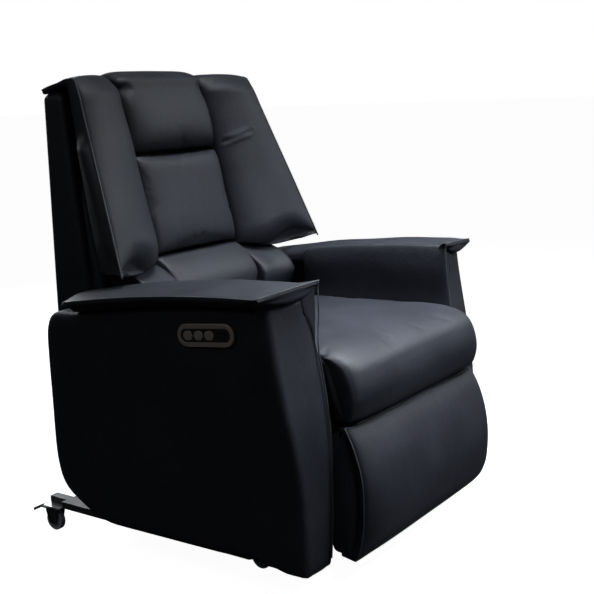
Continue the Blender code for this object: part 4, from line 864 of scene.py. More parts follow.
@dataclass(frozen=True)
class Studio:
    """The floor, the lamps, the world and the camera; angles are in degrees."""

    position: Point = (-2.021, -1.503, 1.011)
    yaw: float = 35.240
    pitch: float = 10.770
    roll: float = -1.902
    lens: float = 64.75
    room: float = 0.012
    gloss_share: float = 0.05
    floor_glow: float = 0.965
    lamps: tuple[Lamp, ...] = (
        Lamp("overhead", (0.0, -0.40, 2.40), (0.9, 0.7), 11.5, (0.03, -0.42, 0.50), 54.0),
        Lamp("left_front", (1.3, -1.0, 2.0), (0.9, 0.7), 2.8, (0.0, -0.30, 0.50), 70.0),
        Lamp("low_front", (0.1, -1.5, 1.7), (0.7, 0.5), 2.2, (0.0, -0.36, 0.50), 45.0),
        Lamp("fill", (-2.2, 0.4, 2.4), (1.6, 1.6), 4.5, (-0.2, 0.2, 0.7)),
        Lamp("rear", (0.9, 2.8, 1.6), (1.8, 1.4), 34.0, (0.0, 0.4, 0.5)),
        Lamp("left", (2.9, -0.9, 1.5), (1.6, 1.4), 8.0, (0.4, 0.0, 0.4)))

    def camera(self) -> None:
        """The camera at the photograph's place, from its yaw, pitch and roll."""
        yaw, pitch, roll = (math.radians(turn) for turn in (self.yaw, self.pitch, self.roll))
        level = math.cos(pitch)
        ahead = np.array((math.cos(yaw) * level, math.sin(yaw) * level, -math.sin(pitch)))
        right = np.array((math.sin(yaw), -math.cos(yaw), 0.0))
        up = np.cross(right, ahead)
        view = bpy.data.cameras.new("view")
        view.lens = self.lens
        view.sensor_width = 36.0
        obj = bpy.data.objects.new("view", view)
        stand(obj, (right * math.cos(roll) + up * math.sin(roll),
                    up * math.cos(roll) - right * math.sin(roll), -ahead), self.position)
        bpy.context.scene.camera = obj

    def world(self) -> None:
        """White to the camera and through clear parts, a little of that to gloss, and a dim bluish
        room to every other ray."""
        world = bpy.data.worlds.new("studio")
        bpy.context.scene.world = world
        world.use_nodes = True
        sheet = Nodes(world.node_tree)
        rays = sheet.add("LightPath", {})
        clear = sheet.maths("ADD", rays["Is Camera Ray"], rays["Is Transmission Ray"], True)
        gloss = sheet.maths("MULTIPLY", rays["Is Glossy Ray"], self.gloss_share)
        seen = sheet.blend(sheet.maths("MAXIMUM", clear, gloss),
                           tone((0.86, 0.93, 1.0), self.room), WHITE)
        sheet.link(seen, world.node_tree.nodes["Background"].inputs["Color"])

    def floor(self) -> None:
        """A round floor: white with the chair's shadow to the camera, and dark to the light that it
        returns."""
        turn = np.linspace(0.0, 2.0 * math.pi, 64, endpoint=False)
        circle = np.stack((np.cos(turn), np.sin(turn), np.zeros(64)), axis=-1)
        rings = np.array((0.02, 1.0, 3.0, 9.0, 30.0, 90.0))[:, None, None] * circle
        sheet = Shader("pale_floor")
        seen = sheet.add("LightPath", {})["Is Camera Ray"]
        sheet.set(Base_Color=sheet.blend(seen, (0.04, 0.04, 0.045, 1.0), tone((0.80, 0.80, 0.80))))
        sheet.set(Roughness=0.8, Specular_IOR_Level=0.1, Emission_Color=WHITE)
        sheet.set(Emission_Strength=sheet.maths("MULTIPLY", seen, self.floor_glow))
        piece("floor", [Skin(rings, cap=False)], sheet.material)

    def build(self) -> None:
        """The whole studio."""
        bpy.context.scene.view_settings.view_transform = "Standard"
        self.world()
        self.floor()
        for lamp in self.lamps:
            lamp.build()
        self.camera()


# The chair's sub-assemblies


@dataclass
class Kit:
    """What every sub-assembly is given: the finishes, and a way to hand in a finished piece."""

    coats: dict[Coat, Material] = field(
        default_factory=lambda: {coat: coat.value.material() for coat in Coat})

    def add(self, name: str, skins: Sequence[Skin], body: Body, node: str = "",
            fill: float | None = None, stuffing: Stuffing | None = None,
            coat: Coat = Coat.LEATHER) -> None:
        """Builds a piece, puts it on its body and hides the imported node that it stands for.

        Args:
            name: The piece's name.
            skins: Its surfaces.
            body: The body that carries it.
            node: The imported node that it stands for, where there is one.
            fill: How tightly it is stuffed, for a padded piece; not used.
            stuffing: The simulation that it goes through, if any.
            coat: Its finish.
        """
        obj = piece(name, skins, self.coats[coat])
        if stuffing is not None:
            stuffing.fill(obj)
        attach(obj, body.value)
        if node:
            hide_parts(node)
        LOG.info("%s: %d faces, on %s", name, len(obj.data.polygons), body.value)

    def cover(self, stem: str, rings: Array, side: Side, body: Body, node: str,
              fill: float) -> None:
        """A padded piece on one side of the chair, from the rings of the left one."""
        self.add(side.named(stem), [Skin(on_side(rings, side))], body, side.named(node), fill)

    def cord(self, stem: str, path: Array, side: Side, body: Body, radius: float, sides: int = 8,
             coat: Coat = Coat.PIPING) -> None:
        """A cord sewn along a path of the left side, on one side of the chair."""
        self.add(side.named(stem), [tube(on_side(path, side), radius, sides)], body, coat=coat)


@dataclass
class ArmRest:
    """One arm: outer shell, inner panel, capped pad and their seams.

    Its front is a ruled face: its inner edge stands forward of its outer corner at the top, and the
    two come level at the foot.
    """

    kit: Kit
    side: Side
    inner: float = 0.2855
    split: float = 0.318
    face: float = 0.411
    face_lift: float = 0.017
    foot: float = 0.040
    bottom: float = 0.0823
    hem: float = 0.0125
    panel_dip: float = 0.0022
    panel_reach: tuple[float, float] = (0.105, 0.055)
    rear: float = 0.341
    inner_rear: float = 0.103
    lean_in: float = 0.0100
    high: float = 0.631
    fall: float = 0.053
    pad_thickness: float = 0.030
    pad_gap: float = 0.0004
    pad_front: float = -0.323
    pad_front_outer: float = -0.300
    pad_rear: float = 0.252
    pad_inner: float = 0.284
    pad_outer: float = 0.4515
    corner_draw: float = 0.016
    tip: float = 0.275
    brow_high: float = 0.0415
    brow_fall: float = 0.0105
    lens_tall: float = 0.0265
    lens_seam: float = 0.0015
    shell_rise: float = 0.016
    inner_rise: float = 0.0365
    loop_points: int = 260

    front_inner = staticmethod(table((
        (0.03, -0.343), (0.12, -0.349), (0.20, -0.3515), (0.33, -0.3515), (0.43, -0.340),
        (0.493, -0.329), (0.645, -0.322))))
    front_outer = staticmethod(table((
        (0.03, -0.340), (0.10, -0.345), (0.18, -0.348), (0.266, -0.346), (0.35, -0.336),
        (0.428, -0.321), (0.585, -0.292), (0.63, -0.286))))
    corner_x = staticmethod(table((
        (0.03, 0.376), (0.18, 0.387), (0.266, 0.397), (0.428, 0.409), (0.60, 0.411))))
    seam_x = staticmethod(table((
        (0.03, 0.288), (0.40, 0.288), (0.49, 0.290), (0.55, 0.303), (0.60, 0.320), (0.62, 0.322))))

    def top(self, y: Array | float) -> Array:
        """The pad's upper edge: it falls towards the rear, by a power of the distance."""
        share = np.clip((y - self.pad_front) / (self.pad_rear - self.pad_front), 0.0, 1.0)
        return self.high - self.fall * share**1.9

    def seat(self, y: Array | float) -> Array:
        """The arm's top under its pad."""
        return self.top(y) - self.pad_thickness

    def outline(self, whole: bool) -> Array:
        """The arm's side view as a loop of (y, z): down the front, along the bottom, up the rear,
        and back under the pad.

        Args:
            whole: The outer shell with its swept tail, or else the shorter inner panel.

        Returns:
            The loop's points.
        """
        rise = self.shell_rise if whole else self.inner_rise
        heights = np.linspace(self.seat(self.pad_front) + rise, self.foot + 0.012, 22)
        corners = [(front, z, 0.012) for front, z in zip(self.front_inner(heights), heights)]
        toe = corners[-1][0]
        corners += [(toe + 0.004, self.foot, 0.010), (toe + 0.056, self.foot + 0.001, 0.018),
                    (toe + 0.112, self.bottom - 0.002, 0.030)]
        if whole:
            corners += [(self.rear - 0.118, self.bottom - 0.006, 0.06),
                        (self.rear - 0.020, self.bottom + 0.044, 0.04),
                        (self.rear + 0.001, self.bottom + 0.108, 0.05),
                        (self.rear + 0.004, 0.40, 0.05),
                        (self.rear + 0.002, self.seat(self.pad_rear) - 0.002, 0.066)]
            reach = np.linspace(self.pad_rear, self.pad_front + 0.03, 16)
            corners += [(y, self.seat(y) - 0.0005, 0.02) for y in reach]
            corners += [(self.pad_front + 0.014, self.seat(self.pad_front) + rise, 0.010)]
        else:
            corners += [(self.inner_rear, self.bottom, 0.012),
                        (self.inner_rear, self.seat(self.inner_rear) + rise - 0.001, 0.02)]
            reach = np.linspace(self.inner_rear - 0.05, self.pad_front + 0.01, 12)
            corners += [(y, self.seat(y) + rise, 0.02) for y in reach]
        return corner_path(corners, self.loop_points)

    def slant(self, x: Array, z: Array) -> Array:
        """How far the ruled front stands behind its inner edge."""
        share = np.clip((x - self.inner) / (self.corner_x(z) - self.inner), 0.0, 1.0)
        return share * (self.front_outer(z) - self.front_inner(z))

    def loop(self, outline: Array, x: Array | float, drawn: float = 0.0) -> Array:
        """The side view set at a distance from the chair's middle, with its front edge on the ruled
        face.

        Args:
            outline: The (y, z) loop.
            x: The distance, one value or one for each point.
            drawn: How far the loop is drawn in towards its middle.

        Returns:
            The loop in space.
        """
        y, z = outline.T
        x = np.broadcast_to(x, y.shape)
        points = np.column_stack((x, y + smooth_step(-0.20, -0.31, y) * self.slant(x, z), z))
        away = (points - points.mean(axis=0)) * (0.0, 1.0, 1.0)
        return points - away / np.linalg.norm(away, axis=1, keepdims=True) * drawn

    def split_x(self, outline: Array) -> Array:
        """Where shell and inner panel meet: on the sewn line in front, at the split elsewhere."""
        front = smooth_step(-0.25, -0.31, outline[:, 0])
        return self.split + front * (self.seam_x(outline[:, 1]) - self.split)

    def fitted(self, rings: Array) -> Array:
        """The shell with its hem let down over the base rail, narrowed towards its lower front
        corner, softly uneven, and drawn in round the control panel.

        Args:
            rings: The shell before all that.

        Returns:
            The shell's rings.
        """
        shoulder = self.face - self.face_lift
        x, y, z = np.moveaxis(rings, -1, 0)
        hem = self.hem * smooth_step(0.140, 0.092, z) * smooth_step(0.3962, 0.3985, x)
        z = z - hem * smooth_step(-0.275, -0.245, y) * smooth_step(0.30, 0.16, y)
        narrow = smooth_step(-0.13, -0.325, y) * (self.face - self.corner_x(z))
        x = x - narrow * smooth_step(self.split, shoulder, x)
        x = x + 0.0010 * ripple(np.stack((x, y, z), -1), 0.19, 11) * smooth_step(0.38, 0.405, x)
        if self.side is Side.RIGHT:
            long, tall = self.panel_reach
            panel = (y - PANEL[0]) ** 2 / long**2 + (z - PANEL[1]) ** 2 / tall**2
            x = x - self.panel_dip * np.exp(-panel**2) * smooth_step(0.40, 0.408, x)
        return np.stack((x, y, z), axis=-1)

    def shell(self) -> None:
        """The outer shell: a wall from the split to the outer edge, then a stuffed side face."""
        outline = self.outline(True)
        start = self.split_x(outline)
        tuck = 0.0022
        walls = [self.loop(outline, start, 0.010), self.loop(outline, start + 0.0003, tuck)]
        for share in np.linspace(0.04, 1.0, 12):
            x = start + (self.face - self.face_lift - start) * share
            walls.append(self.loop(outline, x, tuck * (1.0 - min(share * 5.0, 1.0))))
        face = pillow(walls[-1], (self.face_lift, 0.0, 0.0), 40, 34.0, 2.1)
        rings = self.fitted(np.concatenate((walls, face[1:])))
        self.kit.cover("arm_shell_cover", rings, self.side, Body.CHASSIS, "arm_shell", 0.8)

    def lean(self, z: Array) -> Array:
        """How far the inner panel leans in to the pad's edge at a height."""
        return self.lean_in * smooth_step(0.500, 0.590, z)

    def inner_panel(self) -> None:
        """The inner panel: a softly stuffed face towards the seat that leans in to the pad's edge
        and rolls over its top, ended in a round upright edge at the front."""
        outline = self.outline(False)
        start = self.inner + 0.011
        face = pillow(self.loop(outline, start), (-0.0108, 0.0, 0.0), 34, 13.0)
        end = np.maximum(self.split_x(outline) - 0.0004, self.inner + 0.0012)
        tuck = 0.0020
        walls = []
        for share in np.linspace(0.0, 1.0, 9)[1:]:
            drawn = tuck * max(share * 5.0 - 4.0, 0.0)
            walls.append(self.loop(outline, start + (end - start) * share, drawn))
        rings = np.concatenate((face[::-1], walls, [self.loop(outline, end, 0.012)]))
        rings[..., 0] += ripple(rings, 0.13, 23) * 0.0009 * smooth_step(0.30, 0.287, rings[..., 0])
        rings[..., 0] -= self.lean(rings[..., 2]) * smooth_step(0.318, 0.292, rings[..., 0])
        self.kit.cover("arm_inner_cover", rings, self.side, Body.CHASSIS, "arm_inner", 0.8)

    def pad_section(self, y: float) -> Array:
        """One section of the pad: lip, crowned top, thin flap and underside.

        Args:
            y: Where it is along the arm.

        Returns:
            The section as (x, rise over the arm).
        """
        top, inner, face, reach = self.pad_thickness, self.pad_inner, self.face, self.pad_edge(y)
        corners = [(inner + 0.004, 0.0, 0.005), (inner, 0.006, 0.006), (inner, top - 0.002, 0.014),
                   (inner + 0.020, top + 0.0115, 0.022), (face - 0.020, top + 0.0115, 0.05),
                   (reach - 0.022, top + 0.005, 0.03), (reach, top - 0.001, 0.005),
                   (reach, top - 0.0115, 0.005), (reach - 0.030, top - 0.015, 0.02),
                   (face + 0.006, top - 0.018, 0.008), (face - 0.004, 0.0, 0.006)]
        return corner_path(corners, 150, 8)

    def across(self, x: Array, start: float) -> Array:
        """The share of the way across the pad's front, from a start to the outer tip."""
        return np.clip((x - start) / (self.pad_outer - start), 0.0, 1.0)

    def brow(self, x: Array) -> Array:
        """The piped line over the pad's front, as a rise over the arm, highest at its inner end."""
        return self.brow_high - self.brow_fall * self.across(x, self.tip) ** 1.4

    def front_y(self, x: Array) -> Array:
        """The pad's front in plan: it slants back from the inner tip to the outer one."""
        slant = self.pad_front_outer - self.pad_front
        return self.pad_front + slant * self.across(x, self.tip) ** 1.3

    def lens(self, section: Array) -> Array:
        """The pad's front end: the section a little wider and pinched to a lens, 28 mm tall in its
        middle and closed at both tips, under the piped line.

        Args:
            section: The full section.

        Returns:
            The pinched one.
        """
        width = self.pad_outer - self.pad_inner
        wider = 0.007
        x = self.pad_inner - wider + (section[:, 0] - self.pad_inner) * (width + wider) / width
        high = self.brow(x)
        bow = np.sin(np.pi * self.across(x, self.tip + 0.002) ** 0.85) ** 0.75
        upper = np.arange(len(section)) <= int(np.argmax(section[:, 0]))
        low = high - self.lens_seam - self.lens_tall * bow
        return np.column_stack((x, np.where(upper, high, low)))

    def pad_edge(self, y: Array | float) -> Array:
        """The flap's outer edge in plan, drawn in round its rear corner."""
        return self.pad_outer - self.corner_draw * smooth_step(0.195, 0.262, y) ** 1.6

    def on_arm(self, section: Array, y: Array | float) -> Array:
        """A section of the pad laid on the arm's top at a place along it."""
        return strand(section[:, 0], y, self.seat(y) + self.pad_gap + section[:, 1])

    def pad(self) -> None:
        """The pad: from the lens at its front, which slants back to the outer tip, to its closed
        rear."""
        section = self.pad_section(self.pad_front)
        lens = self.lens(section)
        rings = []
        for depth in (*np.linspace(0.0, 0.040, 16), *np.linspace(0.048, 0.100, 6)):
            shape = lens + (section - lens) * smooth_step(0.004, 0.036, depth)
            rings.append(self.on_arm(shape, self.front_y(shape[:, 0]) + depth))
        middle = lens[:, 1] * 0.5 + (self.brow(lens[:, 0]) - 0.012) * 0.5
        shut = self.on_arm(np.column_stack((lens[:, 0], middle)), self.front_y(lens[:, 0]))
        shut -= (0.0, 0.0035, 0.0)
        rings[:0] = [shut, shut * 0.45 + rings[0] * 0.55 - (0.0, 0.0014, 0.0)]
        for y in np.linspace(self.pad_front + 0.125, self.pad_rear - 0.014, 50):
            section = self.pad_section(y)
            slant = self.front_y(section[:, 0]) - self.pad_front
            rings.append(self.on_arm(section, y + slant * (1.0 - smooth_step(-0.20, -0.05, y))))
        for angle in np.linspace(0.2, 1.35, 6):
            y = self.pad_rear - 0.012 * (1.0 - math.sin(angle))
            section = self.pad_section(y)
            section[:, 1] = 0.018 + (section[:, 1] - 0.018) * (0.08 + 0.92 * math.cos(angle))
            rings.append(self.on_arm(section, y))
        rings = np.array(rings)
        on_top = smooth_step(0.02, 0.034, rings[..., 2] - self.seat(rings[..., 1]))
        rings[..., 2] += ripple(rings, 0.11, 31) * 0.0009 * on_top
        self.kit.cover("arm_pad_cover", rings, self.side, Body.CHASSIS, "arm_pad", 0.7)

    def seams(self) -> None:
        """Piping along the flap's edge, round the front to the inner tip and down the inner front
        edge, and the sewn line on the arm's front."""
        y = np.linspace(0.240, -0.292, 90)
        flap = strand(self.pad_edge(y) - 0.0002, y, self.seat(y) + self.pad_thickness - 0.0008)
        x = np.linspace(self.pad_outer, 0.2765, 60)[1:]
        y = self.front_y(x)
        front = strand(x, y - 0.0020, self.seat(y) + self.brow(x) + 0.0006)
        z = np.linspace(0.632, 0.060, 100)
        upright = strand(self.inner + 0.0030 - self.lean(z), self.front_inner(z) - 0.0006, z)
        path = along(np.vstack((flap, front, upright)), 420)
        self.kit.cord("arm_piping", path, self.side, Body.CHASSIS, 0.0015)
        z = np.linspace(0.610, 0.10, 80)
        x = self.seam_x(z)
        sewn = strand(x, self.front_inner(z) + self.slant(x, z) + 0.0008, z)
        self.kit.cord("arm_front_seam", sewn, self.side, Body.CHASSIS, 0.0009, 6, Coat.LEATHER)

    def build(self) -> None:
        """The whole arm."""
        self.shell()
        self.inner_panel()
        self.pad()
        self.seams()


def stuffed_bar(edge: Array, full: Array, half_width: float, count: int, power: float) -> Array:
    """A cushion across the chair: at a share u of its half width each section is the edge loop plus
    the root of 1 - |u| ** power of the way to the full loop.

    Args:
        edge: The section at both ends, as (y, z) points.
        full: The section in the middle, with as many points.
        half_width: Half of the cushion's width.
        count: How many sections it has.
        power: A higher power keeps the rounding nearer the ends.

    Returns:
        The rings in space, from the right end to the left.
    """
    turn = np.linspace(-1.0, 1.0, count)[:, None, None]
    share = np.sign(turn) * (1.0 - (1.0 - np.abs(turn)) ** CROWDING)
    section = edge + (full - edge) * (1.0 - np.abs(share) ** power) ** 0.5
    x = np.broadcast_to(share * half_width, (*section.shape[:2], 1))
    return np.concatenate((x, section), axis=-1)


def pocketed(rings: Array, inwards: float, shrink: float) -> Array:
    """A bar whose ends are sunk: one more ring at each end, set inwards and drawn to its middle.

    Args:
        rings: The bar's rings, from one end to the other.
        inwards: How far the new rings stand inside the old ends.
        shrink: The share of the way that they are drawn to their middle.

    Returns:
        The rings with one more at each end.
    """
    made = [rings[0] + (inwards, 0.0, 0.0), rings[-1] - (inwards, 0.0, 0.0)]
    made = [ring + (ring.mean(axis=0) - ring) * shrink for ring in made]
    return np.concatenate((made[:1], rings, made[1:]))


@dataclass
class Seat:
    """The seat cushion: a crowned top that rolls in one long curve over its nose to the footrest's
    seam, with a boxing roll tucked in under the lip at each side."""

    kit: Kit
    side_line: tuple[Point, ...] = (
        (0.130, 0.352, 0.008), (0.128, 0.470, 0.02), (-0.100, 0.480, 0.06), (-0.362, 0.488, 0.055),
        (-0.392, 0.430, 0.05), (-0.400, 0.385, 0.03), (-0.392, 0.351, 0.008))
    full_line: tuple[Point, ...] = (
        (0.136, 0.3488, 0.010), (0.136, 0.489, 0.034), (-0.130, 0.5000, 0.10),
        (-0.405, 0.503, 0.125), (-0.436, 0.430, 0.090), (-0.424, 0.372, 0.04),
        (-0.402, 0.3488, 0.010))
    roll_radius: float = 0.0088
    seam_gap: float = 0.0042
    seam_bow: float = 0.0085
    roll_line: tuple[Point, ...] = (
        (0.2685, -0.318, 0.480), (0.2700, -0.333, 0.466), (0.2705, -0.343, 0.437),
        (0.2705, -0.352, 0.405), (0.2700, -0.362, 0.380), (0.2680, -0.372, 0.362))

    def cushion(self) -> None:
        """The cushion, with a tuck beside each boxing roll."""
        edge, full = corner_path(self.side_line, 300), corner_path(self.full_line, 300)
        rings = stuffed_bar(edge, full, SEAT_HALF, 150, 6.5)
        rings[..., 2] += ripple(rings, 0.21, 5) * 0.0016 * smooth_step(0.46, 0.49, rings[..., 2])
        for side in Side:
            start, end = (on_side(np.array(point), side)
                          for point in ((0.272, -0.360, 0.470), (0.262, -0.402, 0.372)))
            rings = crease(rings, start, end, (0.0, 0.0035, 0.0), 0.012)
        self.kit.add("seat_cover", [Skin(pocketed(rings, 0.012, 0.16))], Body.CHASSIS,
                     "seat_cushion", 0.85, Stuffing(0.0045, voxel=0.007))

    def side_rolls(self) -> None:
        """The boxing rolls: cords that swell in their middle, deeper than wide."""
        path = curve_through(self.roll_line, 60)
        swell = self.roll_radius * np.sin(np.pi * np.linspace(0.06, 0.94, 60)) ** 0.4
        around = tube(path, 1.0, 20).points - path[:, None]
        rings = path[:, None] + around * swell[:, None, None] * (1.0, 1.35, 1.0)
        rolls = [Skin(on_side(rings, side)) for side in Side]
        self.kit.add("seat_side_rolls", rolls, Body.CHASSIS)

    def seam(self) -> None:
        """The double row of stitches over the footrest, bowed back at its ends."""
        x = np.linspace(-0.272, 0.272, 160)
        bow = self.seam_bow * (np.abs(x) / SEAT_HALF) ** 8
        rows = []
        for lift in (0.0, self.seam_gap):
            rows += stitches(strand(x, -0.4085 - lift * 0.42 + bow, 0.3520 + lift))
        self.kit.add("seat_seam_stitches", rows, Body.CHASSIS, coat=Coat.THREAD)

    def build(self) -> None:
        """The whole seat."""
        self.cushion()
        self.side_rolls()
        self.seam()


@dataclass
class FootRest:
    """The footrest: a bulging front cover with a piped seam at each end, a boxing pillow behind
    each seam, and the leather bridge to the seat."""

    kit: Kit
    back: float = -0.3655
    panel_back: float = -0.3380
    panel_x: float = 0.2665
    panel_swell: float = 0.0148
    low: float = 0.0600
    high: float = 0.3445
    bridge_half: float = 0.251

    end_front = staticmethod(table((
        (0.060, -0.3985), (0.075, -0.4060), (0.124, -0.4185), (0.174, -0.4220), (0.252, -0.4165),
        (0.292, -0.4045), (0.330, -0.3880), (0.3445, -0.3800))))
    full_front = staticmethod(table((
        (0.060, -0.4020), (0.075, -0.4220), (0.110, -0.4450), (0.145, -0.4525), (0.180, -0.4545),
        (0.230, -0.4510), (0.290, -0.4360), (0.325, -0.4190), (0.3445, -0.4035))))

    def loop(self, front: Line) -> Array:
        """The cover's section: a straight back, and a front that follows a line.

        Args:
            front: The line, as y for each height.

        Returns:
            The (y, z) loop.
        """
        share = 0.5 - 0.5 * np.cos(np.pi * np.linspace(0.0, 1.0, 120))
        z = self.low + (self.high - self.low) * share
        back = strand(self.back, np.linspace(self.high - 0.001, self.low + 0.006, 70))
        return along(np.vstack((strand(front(z), z), back)), 260, closed=True)

    def cover(self) -> None:
        """The front cover."""
        ends, middle = self.loop(self.end_front), self.loop(self.full_front)
        rings = stuffed_bar(ends, middle, SEAT_HALF, 150, 7.0)
        rings[..., 1] += ripple(rings, 0.17, 8) * 0.0012 * smooth_step(-0.41, -0.44, rings[..., 1])
        self.kit.add("footrest_cover", [Skin(pocketed(rings, 0.013, 0.14))], Body.FOOTREST,
                     "footrest_cushion", 0.8)

    def end_panels(self) -> None:
        """The boxing pillow behind the seam at each end."""
        z = np.linspace(0.318, 0.078, 24)
        front = [(y + 0.019, height, 0.010) for y, height in zip(self.end_front(z), z)]
        corners = ((self.panel_back, 0.066, 0.014), (self.panel_back, 0.328, 0.014),
                   (-0.372, 0.331, 0.012), *front, (-0.384, 0.064, 0.014))
        outline = corner_path(corners, 220)
        ring = strand(self.panel_x, *outline.T)
        face = pillow(ring, (self.panel_swell, 0.0, 0.0), 30, 5.0)
        skin = np.concatenate(([ring - (0.009, 0.0, 0.0)], face))
        panels = [Skin(on_side(skin, side)) for side in Side]
        self.kit.add("footrest_end_panels", panels, Body.FOOTREST)

    def piping(self) -> None:
        """A cord down the seam at each end, and one along the top edge."""
        z = np.linspace(0.343, 0.064, 120)
        seam = strand(SEAT_HALF, self.end_front(z) - 0.0004, z)
        cords = [tube(on_side(seam, side), 0.0016) for side in Side]
        x = np.linspace(-0.279, 0.279, 160)
        out = np.sqrt(1.0 - (np.abs(x) / SEAT_HALF) ** 7)
        behind, ahead = self.end_front(self.high), self.full_front(self.high)
        top = strand(x, behind + (ahead - behind) * out - 0.0012, self.high - 0.0013)
        cords.append(tube(top, 0.0014))
        self.kit.add("footrest_piping", cords, Body.FOOTREST, coat=Coat.PIPING)

    def bridge(self) -> None:
        """The leather between seat and footrest."""
        y = np.concatenate((np.linspace(-0.345, -0.392, 20), np.full(6, -0.394)))
        z = np.concatenate((np.full(20, 0.3465), np.linspace(0.3462, 0.3425, 6))) + 0.0012
        x, y = np.meshgrid(np.linspace(-self.bridge_half, self.bridge_half, 40), y, indexing="ij")
        top = np.stack((x, y, np.broadcast_to(z, x.shape)), axis=-1)
        under = top[:, ::-1] - (0.0, 0.0, 0.002)
        skin = Skin(np.concatenate((top, under), axis=1))
        obj = piece("seat_bridge", [skin], self.kit.coats[Coat.LEATHER])
        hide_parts("bridge_flap")
        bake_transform(obj)
        LOG.info("seat_bridge: %d faces", len(obj.data.polygons))

    def build(self) -> None:
        """The whole footrest."""
        self.cover()
        self.end_panels()
        self.piping()
        self.bridge()


